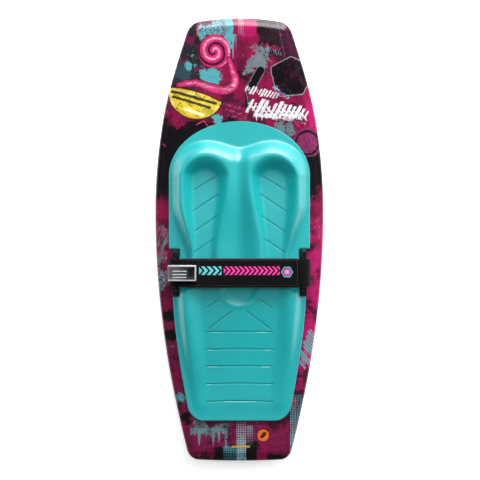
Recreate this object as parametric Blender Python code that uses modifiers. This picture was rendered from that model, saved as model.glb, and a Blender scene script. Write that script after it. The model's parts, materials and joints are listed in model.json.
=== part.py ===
"""A kneeboard: a foam-cored board with a moulded knee pad and a padded thigh strap that folds open.

Frame: +Y runs to the nose, +X to the rider's right, +Z up, and Z = 0 is the flat of the underside.
The strap opens about a fold line over the right-hand anchor. The buckle's lever turns on its own pin.
"""

import math

import bmesh
import bpy

# ---- Driving dimensions, in metres ------------------------------------------------------------
LENGTH = 1.300
WIDTH = 0.500
WIDE_POINT_Y = 0.080  # the widest section lies this far ahead of the middle
NOSE_TAPER, NOSE_POWER = 0.419, 2.07  # share of the half width lost at the nose, and how it grows
TAIL_TAPER, TAIL_POWER = 0.410, 1.95
CORNER_RADIUS = 0.026
NOSE_CROWN_RADIUS, TAIL_CROWN_RADIUS = 0.684, 2.400
CROWN_RUN = 0.300  # the end crowns fade out over this length

BOTTOM_DROP = 0.018  # parting line down to the flat underside
DECK_RISE = 0.026  # parting line up to the flat deck
RAIL_RUN, RAIL_RISE = 0.010, 0.014
BEVEL_START, BEVEL_END = 0.006, 0.030
CHINE_RUN, CHINE_DROP = 0.014, 0.012
CHINE_BEVEL_END = 0.055
NOSE_ROCKER, NOSE_ROCKER_START = 0.060, 0.150
TAIL_ROCKER, TAIL_ROCKER_START = 0.035, -0.250
CHANNEL_MIDDLE, CHANNEL_HALF, CHANNEL_DEPTH = 0.46, 0.16, 0.006  # shares of the half width
CHANNEL_START, CHANNEL_FULL = -0.240, -0.420
RAIL_INSETS = (0.0, 0.0015, 0.006, 0.016, BEVEL_END)  # grid lines, in from the outline
CHINE_INSETS = (0.0, 0.0030, 0.014, 0.032, CHINE_BEVEL_END)
BOTTOM_SHARES = (0.62, 0.46, 0.30)
RAIL_SHARE = 0.30  # the insets take up no more than this share of the half width
MIDDLE_ROWS_END, ROW_SPACING = 0.080, 0.063

SKIN = 0.0025
GAP = 0.0003  # between parts that touch
SEAM = 0.0004  # between the two skins at the parting line
CORE_INSET, CORE_RIM, CORE_GAP = 0.010, 0.0015, 0.0006  # the core stops short of the rails
CLEARANCE = 0.0006
OVERSHOOT = 0.01  # cutters run on past the faces they cut

PAD_HALF = 0.208
PAD_ARCH_Y, PAD_ARCH_RISE = 0.189, 0.161
PAD_TAIL_Y, PAD_TAIL_RADIUS = -0.531, 0.042
PAD_LOWER_Y, PAD_LOWER_HALF, PAD_LOWER_TAPER = -0.165, 0.196, 0.042
PAD_FLANGE = 0.008
FILM, FILM_GAP = 0.0006, 0.0004
PAD_RISE = FILM_GAP + FILM + GAP
NOTCH_TOP_Y, NOTCH_END_Y, NOTCH_HALF = -0.0255, -0.1665, 0.1765
NOTCH_STEP = 0.001  # the notch's square ends lie between grid rows this far either side
PAD_SHARES = (0.975, 0.925, 0.865, 0.795)  # outer grid columns, as shares of the half width
PAD_COLUMNS = (0.140, 0.122, 0.100, 0.078, 0.060, 0.044, 0.024)  # inner ones, where there is room
PAD_INNER_SHARE = 0.74  # the inner columns take up no more than this share of the half width
FILM_SHARE = 0.985  # the film's half width over the pad's

ANCHOR_X, ANCHOR_Y = 0.189, -0.096
BRACKET_LENGTH, BRACKET_WIDTH, BRACKET_BASE = 0.136, 0.020, 0.0025
BOSS_LENGTH, BOSS_HEIGHT = 0.025, 0.015
BOSS_BEVEL, BASE_INSET = 0.0035, 0.004
BAR_HEIGHT, BAR_RADIUS, BAR_SEAT = 0.0095, 0.003, 0.004
SCREW_SPACING = 0.1055
SCREW_RADIUS, HEAD_RADIUS, HEAD_HEIGHT, SCREW_DEPTH = 0.0025, 0.005, 0.0032, 0.018
HEAD_TOP_SHARE, SOCKET_RADIUS, SOCKET_DEPTH = 0.82, 0.0022, 0.002
HEAD_SEAT = 0.006  # the screw head sits this far above the deck
INSERT_RADIUS, INSERT_LENGTH = 0.0042, 0.020

STRAP_WIDTH, PADDING_WIDTH, WEBBING_WIDTH = 0.080, 0.086, 0.039
COVER_THICK, PADDING_THICK, PANEL_THICK = 0.0027, 0.0045, 0.0012
LAP_THICK, WEBBING_THICK = 0.0022, 0.0018
COVER_TOP = 0.0548  # all strap and buckle heights are above the flat deck
LAP_BOTTOM = 0.0418
LOOP_LEFT, LOOP_RIGHT, LOOP_BOTTOM, LOOP_WIDTH = -0.165, -0.030, 0.0443, 0.070
HOOK_LEFT, HOOK_RIGHT, HOOK_BOTTOM, HOOK_WIDTH = -0.162, -0.034, 0.0458, 0.068
PADDING_LEFT, PADDING_RIGHT, PADDING_BOTTOM = -0.170, 0.172, 0.0473
FOLD_X, FOLD_HEIGHT = 0.176, 0.0550  # the strap opens about this line

PIN_X, PIN_HEIGHT, PIN_RADIUS, PIN_LENGTH = -0.206, 0.0618, 0.0015, 0.0476
PIN_PLAY = 0.0002
RIVET_X, RIVET_SPREAD, RIVET_RADIUS, RIVET_BOTTOM, RIVET_LENGTH = -0.136, 0.012, 0.002, 0.0521, 0.0048
RIVET_HEAD_RADIUS, RIVET_HEAD_TOP, RIVET_HEAD_HEIGHT = 0.0035, 0.0024, 0.0011
FLOOR_LEFT, FLOOR_RIGHT, FLOOR_LOW, FLOOR_HIGH = -0.2065, -0.130, 0.0551, 0.0564
WALL_LEFT, WALL_RIGHT, WALL_TOP = -0.2085, -0.134, 0.0640
WALL_INNER, WALL_OUTER = 0.020, 0.0215  # either side of the strap's middle
LEVER_LEFT, LEVER_RIGHT, LEVER_WIDTH = -0.2085, -0.1245, 0.048
LEVER_TOP, LEVER_SKIRT, LEVER_PLATE, LEVER_SIDE = 0.0670, 0.0570, 0.0015, 0.0017
LEVER_BEVEL = 0.0012
LIP_LENGTH, LIP_HEIGHT = 0.014, 0.0612
HUB_RADIUS, HUB_LENGTH, HUB_WEB = 0.0029, 0.0380, 0.0044

DECK_Z = BOTTOM_DROP + DECK_RISE

COLOURS = {  # colour, roughness, metallic
    "deck": ((0.46, 0.03, 0.16), 0.25, 0.0),
    "bottom": ((0.03, 0.03, 0.035), 0.35, 0.0),
    "foam": ((0.85, 0.80, 0.62), 0.95, 0.0),
    "pad": ((0.04, 0.50, 0.50), 0.60, 0.0),
    "film": ((0.75, 0.75, 0.72), 0.50, 0.0),
    "nylon": ((0.015, 0.015, 0.018), 0.45, 0.0),
    "webbing": ((0.02, 0.02, 0.022), 0.85, 0.0),
    "steel": ((0.62, 0.62, 0.64), 0.25, 1.0),
    "brass": ((0.70, 0.52, 0.22), 0.35, 1.0),
}


def clear_scene():
    for obj in list(bpy.data.objects):
        bpy.data.objects.remove(obj, do_unlink=True)


def collection(name):
    made = bpy.data.collections.new(name)
    bpy.context.scene.collection.children.link(made)
    return made


def material(name):
    found = bpy.data.materials.get(name)
    if found:
        return found
    colour, roughness, metallic = COLOURS[name]
    made = bpy.data.materials.new(name)
    made.use_nodes = True
    shader = made.node_tree.nodes["Principled BSDF"]
    shader.inputs["Base Color"].default_value = (*colour, 1.0)
    shader.inputs["Roughness"].default_value = roughness
    shader.inputs["Metallic"].default_value = metallic
    return made


def smoothstep(start, end, value):
    t = min(1.0, max(0.0, (value - start) / (end - start)))
    return t * t * (3.0 - 2.0 * t)


def mix(a, b, t):
    return a + (b - a) * t


# ---- Objects from meshes ----------------------------------------------------------------------


def add_object(name, bm, colour, smooth=True):
    bmesh.ops.recalc_face_normals(bm, faces=bm.faces)
    if bm.calc_volume(signed=True) < 0:
        bmesh.ops.reverse_faces(bm, faces=bm.faces)
    mesh = bpy.data.meshes.new(name)
    bm.to_mesh(mesh)
    bm.free()
    if smooth:
        mesh.shade_smooth()
        mesh.set_sharp_from_angle(angle=math.radians(35))
    mesh.materials.append(material(colour))
    obj = bpy.data.objects.new(name, mesh)
    PARTS.objects.link(obj)
    return obj


def apply_modifiers(obj):
    """Makes the evaluated shape the object's own mesh, for pieces that more cuts follow."""
    bpy.context.view_layer.update()
    graph = bpy.context.evaluated_depsgraph_get()
    mesh = bpy.data.meshes.new_from_object(obj.evaluated_get(graph))
    obj.modifiers.clear()
    obj.data = mesh


def solidify(obj, thickness, offset):
    modifier = obj.modifiers.new("thickness", "SOLIDIFY")
    modifier.thickness = thickness
    modifier.offset = offset
    modifier.use_even_offset = False


def bevel(obj, width, segments=2, angle=40):
    modifier = obj.modifiers.new("rounding", "BEVEL")
    modifier.width = width
    modifier.segments = segments
    modifier.limit_method = "ANGLE"
    modifier.angle_limit = math.radians(angle)


def combine(obj, other, operation):
    """Joins other to obj, or cuts it away, and removes other."""
    modifier = obj.modifiers.new("shape", "BOOLEAN")
    modifier.operation = operation
    modifier.solver = "EXACT"
    modifier.object = other
    apply_modifiers(obj)
    bpy.data.objects.remove(other, do_unlink=True)


def box(name, low, high, colour="nylon"):
    """A cube primitive stretched between two corners."""
    bm = bmesh.new()
    bmesh.ops.create_cube(bm, size=1.0)
    size = [b - a for a, b in zip(low, high)]
    middle = [(a + b) / 2 for a, b in zip(low, high)]
    bmesh.ops.scale(bm, vec=size, verts=bm.verts)
    bmesh.ops.translate(bm, vec=middle, verts=bm.verts)
    return add_object(name, bm, colour, smooth=False)


def cylinder(name, base, radius, length, axis="Z", segments=12, colour="steel", top_radius=None):
    """A cylinder or cone primitive that starts at base and runs along +axis."""
    bm = bmesh.new()
    bmesh.ops.create_cone(
        bm,
        cap_ends=True,
        segments=segments,
        radius1=radius,
        radius2=radius if top_radius is None else top_radius,
        depth=length,
    )
    bmesh.ops.translate(bm, vec=(0, 0, length / 2), verts=bm.verts)
    if axis == "Y":
        for vert in bm.verts:
            vert.co = (vert.co.x, vert.co.z, -vert.co.y)
    bmesh.ops.translate(bm, vec=base, verts=bm.verts)
    return add_object(name, bm, colour)


def mapped_grid(columns, rows, place):
    """A grid primitive whose vertex in column i and row j goes to place(columns[i], rows[j])."""
    bm = bmesh.new()
    bmesh.ops.create_grid(bm, x_segments=len(columns) - 1, y_segments=len(rows) - 1, size=1.0)
    for vert in bm.verts:
        column, row = grid_cell(vert, columns, rows)
        vert.co = place(column, row)
    return bm


def slab(columns, rows, upper, lower):
    """A closed solid between two sheets, upper(column, row) and lower(column, row)."""
    bm = bmesh.new()
    bmesh.ops.create_grid(bm, x_segments=len(columns) - 1, y_segments=len(rows) - 1, size=1.0)
    made = bmesh.ops.extrude_face_region(bm, geom=list(bm.faces), use_keep_orig=True)
    under = {element for element in made["geom"] if isinstance(element, bmesh.types.BMVert)}
    for vert in bm.verts:
        column, row = grid_cell(vert, columns, rows)
        vert.co = lower(column, row) if vert in under else upper(column, row)
    return bm


def grid_cell(vert, columns, rows):
    i = round((vert.co.x + 1) / 2 * (len(columns) - 1))
    j = round((vert.co.y + 1) / 2 * (len(rows) - 1))
    return columns[i], rows[j]


def smooth_path(points, steps):
    """Points of a Catmull-Rom curve through the given (x, z) points."""
    ends = [points[0], *points, points[-1]]
    path = []
    for a, b, c, d in zip(ends, ends[1:], ends[2:], ends[3:]):
        for k in range(steps):
            t = k / steps
            path.append(
                tuple(
                    0.5 * (2 * q + (r - p) * t + (2 * p - 5 * q + 4 * r - s) * t * t
                           + (3 * q - p - 3 * r + s) * t ** 3)
                    for p, q, r, s in zip(a, b, c, d)
                )
            )
    return [*path, points[-1]]


def ribbon(name, points, width, thickness, colour="webbing", steps=3):
    """A strap of constant section along a path in the XZ plane; heights are above the flat deck."""
    path = smooth_path(points, steps)
    bm = mapped_grid(
        [ANCHOR_Y - width / 2, ANCHOR_Y + width / 2],
        path,
        lambda y, point: (point[0], y, DECK_Z + point[1]),
    )
    obj = add_object(name, bm, colour)
    solidify(obj, thickness, 0.0)
    apply_modifiers(obj)
    return obj


# ---- The board's form -------------------------------------------------------------------------


def side_half_width(y):
    """Half width of the planform at y, before the end corners are rounded."""
    if y > WIDE_POINT_Y:
        share = (y - WIDE_POINT_Y) / (LENGTH / 2 - WIDE_POINT_Y)
        return WIDTH / 2 * (1 - NOSE_TAPER * share**NOSE_POWER)
    share = (WIDE_POINT_Y - y) / (LENGTH / 2 + WIDE_POINT_Y)
    return WIDTH / 2 * (1 - TAIL_TAPER * share**TAIL_POWER)


def half_width(y, inset=0.0):
    """Half width at y of the planform moved in by inset, with its corners rounded."""
    radius = CORNER_RADIUS - inset
    to_end = LENGTH / 2 - inset - abs(y)
    side = side_half_width(y) - inset
    if to_end < radius:
        side -= radius - math.sqrt(max(0.0, radius**2 - (radius - to_end) ** 2))
    return side


def edge_distance(x, y):
    side = side_half_width(y) - abs(x)
    end = LENGTH / 2 - abs(y)
    if side < CORNER_RADIUS and end < CORNER_RADIUS:
        return max(0.0, CORNER_RADIUS - math.hypot(CORNER_RADIUS - side, CORNER_RADIUS - end))
    return max(0.0, min(side, end))


def crowned(x, y):
    """The place in Y of a point whose row is y: the ends bow outwards."""
    radius = NOSE_CROWN_RADIUS if y > 0 else TAIL_CROWN_RADIUS
    share = smoothstep(LENGTH / 2 - CROWN_RUN, LENGTH / 2, abs(y))
    return y - math.copysign(x * x / (2 * radius) * share, y)


def parting_height(y):
    nose = max(0.0, (y - NOSE_ROCKER_START) / (LENGTH / 2 - NOSE_ROCKER_START))
    tail = max(0.0, (TAIL_ROCKER_START - y) / (LENGTH / 2 + TAIL_ROCKER_START))
    return BOTTOM_DROP + NOSE_ROCKER * nose**2 + TAIL_ROCKER * tail**2


def deck_profile(distance):
    """Height over the parting line, by distance in from the edge: a round rail, then a bevel."""
    short = 1 - min(1.0, distance / RAIL_RUN)
    bevel_rise = (DECK_RISE - RAIL_RISE) * smoothstep(BEVEL_START, BEVEL_END, distance)
    return RAIL_RISE * math.sqrt(1 - short**2) + bevel_rise


def bottom_profile(distance):
    """Depth under the parting line, by distance in from the edge."""
    short = 1 - min(1.0, distance / CHINE_RUN)
    bevel_drop = (BOTTOM_DROP - CHINE_DROP) * smoothstep(CHINE_RUN / 2, CHINE_BEVEL_END, distance)
    return CHINE_DROP * math.sqrt(1 - short**2) + bevel_drop


def channel(x, y):
    """Depth of the two tunnels that run out through the tail's underside."""
    across = max(0.0, 1 - ((abs(x) / side_half_width(y) - CHANNEL_MIDDLE) / CHANNEL_HALF) ** 2)
    return CHANNEL_DEPTH * across**1.5 * smoothstep(CHANNEL_START, CHANNEL_FULL, y)


def deck_height(x, y, depth=0.0, inset=0.0):
    """The deck's surface, or one inside it that lies at a depth and starts at an inset."""
    share = (DECK_RISE - SEAM / 2 - depth) / DECK_RISE
    return parting_height(y) + SEAM / 2 + share * deck_profile(max(0.0, edge_distance(x, y) - inset))


def bottom_height(x, y, depth=0.0, inset=0.0):
    share = (BOTTOM_DROP - SEAM / 2 - depth) / BOTTOM_DROP
    drop = share * bottom_profile(max(0.0, edge_distance(x, y) - inset)) - channel(x, y)
    return parting_height(y) - SEAM / 2 - max(0.0, drop)


def board_rows(insets):
    """Rows as (end, inset) at the rounded ends and (0, y) between them, from tail to nose."""
    last = LENGTH / 2 - MIDDLE_ROWS_END
    count = round(2 * last / ROW_SPACING)
    middle = [(0, last * (2 * k / count - 1)) for k in range(count + 1)]
    return [(-1, k) for k in insets] + middle + [(1, k) for k in reversed(insets)]


def board_columns(insets, shares):
    """Columns as (side, inset, last inset) near the rails and (0, share of the half width, 0) between."""
    right = [(0, share, 0) for share in reversed(shares)] + [(1, k, insets[-1]) for k in reversed(insets)]
    left = [(-1, k, insets[-1]) for k in insets] + [(0, -share, 0) for share in shares]
    return left + [(0, 0.0, 0)] + right


def plan_place(column, row, depth):
    """Where a grid point lies on the planform moved in by depth, before the ends bow outwards."""
    y = row[1] if row[0] == 0 else row[0] * (LENGTH / 2 - depth - row[1])
    half = half_width(y, depth)
    side, value, last = column
    if side == 0:
        return value * (half + depth), y
    return side * (half - value * min(1.0, half * RAIL_SHARE / last)), y


def sheet(height, depth, inset, rim=0.0):
    """Places the points of a sheet inside the board's surface. rim is its inset at no height."""

    def place(column, row):
        x, y = plan_place(column, row, inset)
        return x, crowned(x, y), height(x, y, depth, inset - rim)

    return place


def deck_skin():
    bm = slab(
        board_columns(RAIL_INSETS, ()),
        board_rows(RAIL_INSETS),
        sheet(deck_height, 0.0, 0.0),
        sheet(deck_height, SKIN, SKIN),
    )
    obj = add_object("deck_skin", bm, "deck")
    for side, end in ANCHOR_SCREWS:
        base = (side * ANCHOR_X, screw_y(end), DECK_Z - OVERSHOOT)
        combine(obj, cylinder("clearance", base, SCREW_RADIUS + CLEARANCE, 2 * OVERSHOOT), "DIFFERENCE")


def bottom_skin():
    bm = slab(
        board_columns(CHINE_INSETS, BOTTOM_SHARES),
        board_rows(CHINE_INSETS),
        sheet(bottom_height, SKIN, SKIN),
        sheet(bottom_height, 0.0, 0.0),
    )
    add_object("bottom_skin", bm, "bottom")


def foam_core():
    """Fills the board inside the skins, with four pockets for the threaded inserts."""
    bm = slab(
        board_columns(CHINE_INSETS, BOTTOM_SHARES),
        board_rows(CHINE_INSETS),
        sheet(deck_height, SKIN + CORE_GAP, CORE_INSET, CORE_RIM),
        sheet(bottom_height, SKIN + CORE_GAP, CORE_INSET, CORE_RIM),
    )
    obj = add_object("foam_core", bm, "foam")
    for side, end in ANCHOR_SCREWS:
        depth = INSERT_LENGTH + 2 * CLEARANCE
        base = (side * ANCHOR_X, screw_y(end), DECK_Z - SKIN - depth)
        combine(obj, cylinder("pocket", base, INSERT_RADIUS + GAP, depth + OVERSHOOT), "DIFFERENCE")


# ---- Knee pad ---------------------------------------------------------------------------------


def pad_side(y):
    """Half width of the pad at y, ignoring the notches for the anchors."""
    if y > PAD_ARCH_Y:
        share = min(1.0, (y - PAD_ARCH_Y) / PAD_ARCH_RISE)
        return PAD_HALF * math.sqrt(1 - share**2)
    if y > PAD_LOWER_Y:
        return mix(PAD_LOWER_HALF, PAD_HALF, smoothstep(PAD_LOWER_Y, 0.0, y))
    share = (PAD_LOWER_Y - y) / (PAD_LOWER_Y - PAD_TAIL_Y - 0.05)
    side = PAD_LOWER_HALF - PAD_LOWER_TAPER * share**1.5
    to_end = y - PAD_TAIL_Y
    if to_end < PAD_TAIL_RADIUS:
        side -= PAD_TAIL_RADIUS - math.sqrt(max(0.0, PAD_TAIL_RADIUS**2 - (PAD_TAIL_RADIUS - to_end) ** 2))
    return side


def pad_half_width(y):
    in_notch = NOTCH_END_Y < y < NOTCH_TOP_Y
    return NOTCH_HALF if in_notch else pad_side(y)


def ridge_height(y):
    """Height over the deck of the pad's outer ridges, highest beside the knees."""
    front = mix(0.040, 0.052, smoothstep(-0.060, 0.200, y))
    rear = mix(0.016, 0.040, smoothstep(-0.500, -0.110, y))
    return front if y > -0.110 else min(front, rear)


def pad_relief(x, y):
    """Height of the pad's top over the deck: ridges, two knee wells, a centre channel and a seat."""
    ax = abs(x)
    notch = smoothstep(0.020, -0.030, y) * (1 - smoothstep(-0.160, -0.200, y))
    foot = min(0.188, pad_side(y) - 0.018) - 0.010 * notch
    slope = 0.024
    round_front = math.hypot(ax - 0.088, max(0.0, y - 0.192)) - 0.100
    inset = -round_front if y > 0.192 else foot - ax
    slope += 0.020 * smoothstep(0.192, 0.260, y)
    if ax < 0.060 and y > 0.192:
        inset = max(inset, 0.262 - y)
    block = smoothstep(0.0, slope, inset) * (1 - smoothstep(-0.480, -0.515, y))
    middle = mix(0.024, 0.047, smoothstep(-0.060, 0.240, y))
    top = mix(middle, ridge_height(y), smoothstep(0.030, 0.090, ax))

    floor = mix(0.013, 0.019, smoothstep(0.190, 0.0, y)) - 0.005 * smoothstep(-0.200, -0.480, y)
    along = max(0.0, y - 0.186)
    centre = mix(0.0975, 0.1090, smoothstep(0.160, -0.050, y))
    radius = mix(0.062, 0.046, smoothstep(0.160, -0.050, y))
    well = 1 - smoothstep(-0.030, 0.0, math.hypot(ax - centre, along) - radius)
    basin_half = mix(0.148, 0.118, smoothstep(-0.160, -0.450, y))
    basin = (1 - smoothstep(-0.040, 0.0, ax - basin_half)) * smoothstep(-0.060, -0.140, y)
    carve = max(well * smoothstep(-0.240, -0.150, y), basin)
    height = mix(top, floor, carve)

    channel_half = mix(0.062, 0.034, smoothstep(-0.060, 0.220, y))
    end = max(0.0, -0.126 - y)
    across = math.hypot(ax, end) / channel_half
    channel_floor = mix(0.011, 0.045, smoothstep(-0.040, 0.215, y))
    height = mix(min(channel_floor, height), height, smoothstep(0.35, 1.0, across))
    return PAD_FLANGE + max(0.0, height - PAD_FLANGE) * block


def pad_rows():
    arch = [PAD_ARCH_Y + PAD_ARCH_RISE * math.sin(math.radians(a)) for a in (84, 70, 56, 44, 32, 18)]
    front = [0.206, 0.180, 0.150, 0.110, 0.060, 0.015, NOTCH_TOP_Y + NOTCH_STEP]
    notch = [NOTCH_TOP_Y - NOTCH_STEP, ANCHOR_Y, NOTCH_END_Y + NOTCH_STEP, NOTCH_END_Y - NOTCH_STEP]
    rear = [-0.200, -0.250, -0.320, -0.400, -0.460, -0.478]
    corner = [PAD_TAIL_Y + PAD_TAIL_RADIUS * (1 - math.cos(math.radians(a))) for a in (80, 50, 25, 0)]
    return corner[::-1] + rear[::-1] + notch[::-1] + front[::-1] + arch[::-1]


def pad_column_x(column, y):
    """Inner columns are straight; the outer ones follow the pad's outline."""
    side, kind, value = column
    half = pad_half_width(y)
    if kind == "edge":
        return side * half * value
    return side * value * min(1.0, half * PAD_INNER_SHARE / PAD_COLUMNS[0])


def pad_columns():
    right = [(1, "edge", share) for share in (1.0, *PAD_SHARES)] + [(1, "fixed", x) for x in PAD_COLUMNS]
    left = [(-1, kind, value) for _, kind, value in right]
    return left + [(1, "fixed", 0.0)] + right[::-1]


def pad_sheet(rise, relief=False):
    """Places points at a rise over the deck, on the pad's plan."""

    def place(column, y):
        x = pad_column_x(column, y)
        row = 2 * y - crowned(x, y)
        return x, y, deck_height(x, row) + rise + (pad_relief(x, y) if relief else 0.0)

    return place


def knee_pad():
    bm = slab(pad_columns(), pad_rows(), pad_sheet(PAD_RISE, relief=True), pad_sheet(PAD_RISE))
    add_object("knee_pad", bm, "pad")


def pad_adhesive():
    """The double-sided film that holds the pad to the deck, a little smaller than the pad."""
    columns = [(1, "edge", share * FILM_SHARE) for share in (-1, -0.5, 0, 0.5, 1)]
    rows = [y * 0.995 for y in pad_rows()]  # a few millimetres short at both ends
    add_object("pad_adhesive", slab(columns, rows, pad_sheet(FILM_GAP + FILM), pad_sheet(FILM_GAP)), "film")


# ---- Strap anchors ----------------------------------------------------------------------------

ANCHOR_SCREWS = [(side, end) for side in (-1, 1) for end in (-1, 1)]
SIDE_NAMES = {-1: "left", 1: "right"}
END_NAMES = {-1: "rear", 1: "front"}


def screw_y(end):
    return ANCHOR_Y + end * SCREW_SPACING / 2


def anchor_bracket(side):
    """A moulded base with a boss at each end; the bosses take the screws and hold the bar."""
    x = side * ANCHOR_X
    half_w, half_l = BRACKET_WIDTH / 2, BRACKET_LENGTH / 2
    base_z = DECK_Z + GAP
    base_half = half_l - BASE_INSET
    obj = box(
        f"{SIDE_NAMES[side]}_anchor_bracket",
        (x - half_w, ANCHOR_Y - base_half, base_z),
        (x + half_w, ANCHOR_Y + base_half, base_z + BRACKET_BASE),
    )
    for end in (-1, 1):
        outer = ANCHOR_Y + end * half_l
        inner = ANCHOR_Y + end * (half_l - BOSS_LENGTH)
        low, high = min(outer, inner), max(outer, inner)
        boss = box("boss", (x - half_w, low, base_z), (x + half_w, high, base_z + BOSS_HEIGHT))
        bevel(boss, BOSS_BEVEL, segments=1)
        apply_modifiers(boss)
        combine(obj, boss, "UNION")
    for end in (-1, 1):
        y = screw_y(end)
        through = BOSS_HEIGHT + 2 * OVERSHOOT
        hole = cylinder("hole", (x, y, base_z - OVERSHOOT), SCREW_RADIUS + CLEARANCE, through)
        combine(obj, hole, "DIFFERENCE")
        recess = cylinder("recess", (x, y, DECK_Z + HEAD_SEAT - GAP), HEAD_RADIUS + CLEARANCE, through)
        combine(obj, recess, "DIFFERENCE")
    seat_length = BRACKET_LENGTH - 2 * (BOSS_LENGTH - BAR_SEAT)
    seat = cylinder(
        "seat", (x, ANCHOR_Y - seat_length / 2, DECK_Z + BAR_HEIGHT), BAR_RADIUS + GAP, seat_length, "Y"
    )
    combine(obj, seat, "DIFFERENCE")
    bar_length = seat_length - 2 * GAP
    cylinder(
        f"{SIDE_NAMES[side]}_anchor_bar",
        (x, ANCHOR_Y - bar_length / 2, DECK_Z + BAR_HEIGHT),
        BAR_RADIUS,
        bar_length,
        "Y",
    )


def anchor_screw(side, end):
    """A pan-head screw down through the bracket and the deck, into a brass insert in the core."""
    x, y = side * ANCHOR_X, screw_y(end)
    tag = f"{SIDE_NAMES[side]}_{END_NAMES[end]}"
    shank = SCREW_DEPTH + HEAD_SEAT + HEAD_HEIGHT / 3
    screw = cylinder(f"{tag}_screw", (x, y, DECK_Z - SCREW_DEPTH), SCREW_RADIUS, shank)
    head_top = HEAD_RADIUS * HEAD_TOP_SHARE
    head = cylinder("head", (x, y, DECK_Z + HEAD_SEAT), HEAD_RADIUS, HEAD_HEIGHT, top_radius=head_top)
    combine(screw, head, "UNION")
    socket_z = DECK_Z + HEAD_SEAT + HEAD_HEIGHT - SOCKET_DEPTH
    combine(screw, cylinder("socket", (x, y, socket_z), SOCKET_RADIUS, OVERSHOOT, segments=6), "DIFFERENCE")
    base = DECK_Z - SKIN - GAP - INSERT_LENGTH
    insert = cylinder(f"{tag}_insert", (x, y, base), INSERT_RADIUS, INSERT_LENGTH, colour="brass")
    through = INSERT_LENGTH + 2 * OVERSHOOT
    bore = cylinder("bore", (x, y, base - OVERSHOOT), SCREW_RADIUS + GAP, through)
    combine(insert, bore, "DIFFERENCE")


# ---- Strap ------------------------------------------------------------------------------------


def bar_turn(side, start_angle, end_angle, thickness, steps):
    """Points of a strap's centre line round an anchor bar, by angle in degrees from outboard."""
    radius = BAR_RADIUS + 0.0005 + thickness / 2
    points = []
    for k in range(steps + 1):
        angle = math.radians(mix(start_angle, end_angle, k / steps))
        points.append((side * (ANCHOR_X + radius * math.cos(angle)), BAR_HEIGHT + radius * math.sin(angle)))
    return points


def anchor_straps():
    """The right loop carries the fold line. The left loop ends in a lap under the strap."""
    right = [
        (FOLD_X + GAP, COVER_TOP - COVER_THICK / 2),
        (0.1880, 0.0515),
        (0.1990, 0.0450),
        (0.2065, 0.0340),
        (0.2070, 0.0230),
        (0.2010, 0.0130),
        *bar_turn(1, -60, -180, COVER_THICK, 5),
        (0.1840, 0.0200),
        (0.1860, 0.0330),
        (0.1850, 0.0420),
    ]
    ribbon("right_anchor_strap", right, STRAP_WIDTH, COVER_THICK)
    lap = LAP_BOTTOM + LAP_THICK / 2
    left = [
        (-0.0220, lap),
        (-0.0980, lap),
        (-0.1720, lap),
        (-0.1860, 0.0400),
        (-0.1960, 0.0330),
        (-0.1995, 0.0240),
        (-0.1975, 0.0140),
        *bar_turn(-1, -50, -180, LAP_THICK, 5),
        (-0.1840, 0.0200),
        (-0.1855, 0.0300),
        (-0.1820, 0.0360),
    ]
    ribbon("left_anchor_strap", left, STRAP_WIDTH, LAP_THICK)


def flat_panel(name, left, right, bottom, thickness, width, colour="webbing"):
    z = DECK_Z + bottom
    return box(name, (left, ANCHOR_Y - width / 2, z), (right, ANCHOR_Y + width / 2, z + thickness), colour)


def thigh_strap():
    """The part that opens: cover, padding and hook panel, with the loop panel it grips left behind."""
    flat_panel("loop_panel", LOOP_LEFT, LOOP_RIGHT, LOOP_BOTTOM, PANEL_THICK, LOOP_WIDTH)
    flat_panel("hook_panel", HOOK_LEFT, HOOK_RIGHT, HOOK_BOTTOM, PANEL_THICK, HOOK_WIDTH)
    padding = flat_panel(
        "strap_padding", PADDING_LEFT, PADDING_RIGHT, PADDING_BOTTOM, PADDING_THICK, PADDING_WIDTH
    )
    bevel(padding, 0.0015)
    middle = COVER_TOP - COVER_THICK / 2
    path = [
        (FOLD_X - GAP, middle),
        (0.060, middle),
        (-0.060, middle),
        (-0.172, middle),
        (-0.186, 0.0520),
        (-0.1970, 0.0470),
        (-0.2035, 0.0400),
        (-0.2048, 0.0345),
    ]
    cover = ribbon("strap_cover", path, STRAP_WIDTH, COVER_THICK, steps=2)
    for offset in (-1, 1):
        base = (RIVET_X, ANCHOR_Y + offset * RIVET_SPREAD, DECK_Z + COVER_TOP - OVERSHOOT)
        combine(cover, cylinder("hole", base, RIVET_RADIUS + GAP, 2 * OVERSHOOT), "DIFFERENCE")


def buckle_frame():
    """A U-shaped chassis riveted to the strap: a floor for the webbing and two walls for the pin."""
    low, high = DECK_Z + FLOOR_LOW, DECK_Z + FLOOR_HIGH
    frame = box(
        "buckle_frame",
        (FLOOR_LEFT, ANCHOR_Y - WALL_OUTER, low),
        (FLOOR_RIGHT, ANCHOR_Y + WALL_OUTER, high),
        "steel",
    )
    for near, far in ((-WALL_OUTER, -WALL_INNER), (WALL_INNER, WALL_OUTER)):
        wall_top = (WALL_RIGHT, ANCHOR_Y + far, DECK_Z + WALL_TOP)
        wall = box("wall", (WALL_LEFT, ANCHOR_Y + near, low), wall_top, "steel")
        combine(frame, wall, "UNION")
    combine(frame, pin_hole(), "DIFFERENCE")
    for name, offset in (("buckle_rivet_front", RIVET_SPREAD), ("buckle_rivet_rear", -RIVET_SPREAD)):
        y = ANCHOR_Y + offset
        hole = cylinder("hole", (RIVET_X, y, low - OVERSHOOT), RIVET_RADIUS + GAP, 2 * OVERSHOOT)
        combine(frame, hole, "DIFFERENCE")
        rivet = cylinder(name, (RIVET_X, y, DECK_Z + RIVET_BOTTOM), RIVET_RADIUS, RIVET_LENGTH)
        head_base = (RIVET_X, y, high + GAP)
        head = cylinder(
            "head", head_base, RIVET_HEAD_RADIUS, RIVET_HEAD_HEIGHT, top_radius=RIVET_HEAD_TOP
        )
        combine(rivet, head, "UNION")


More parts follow.
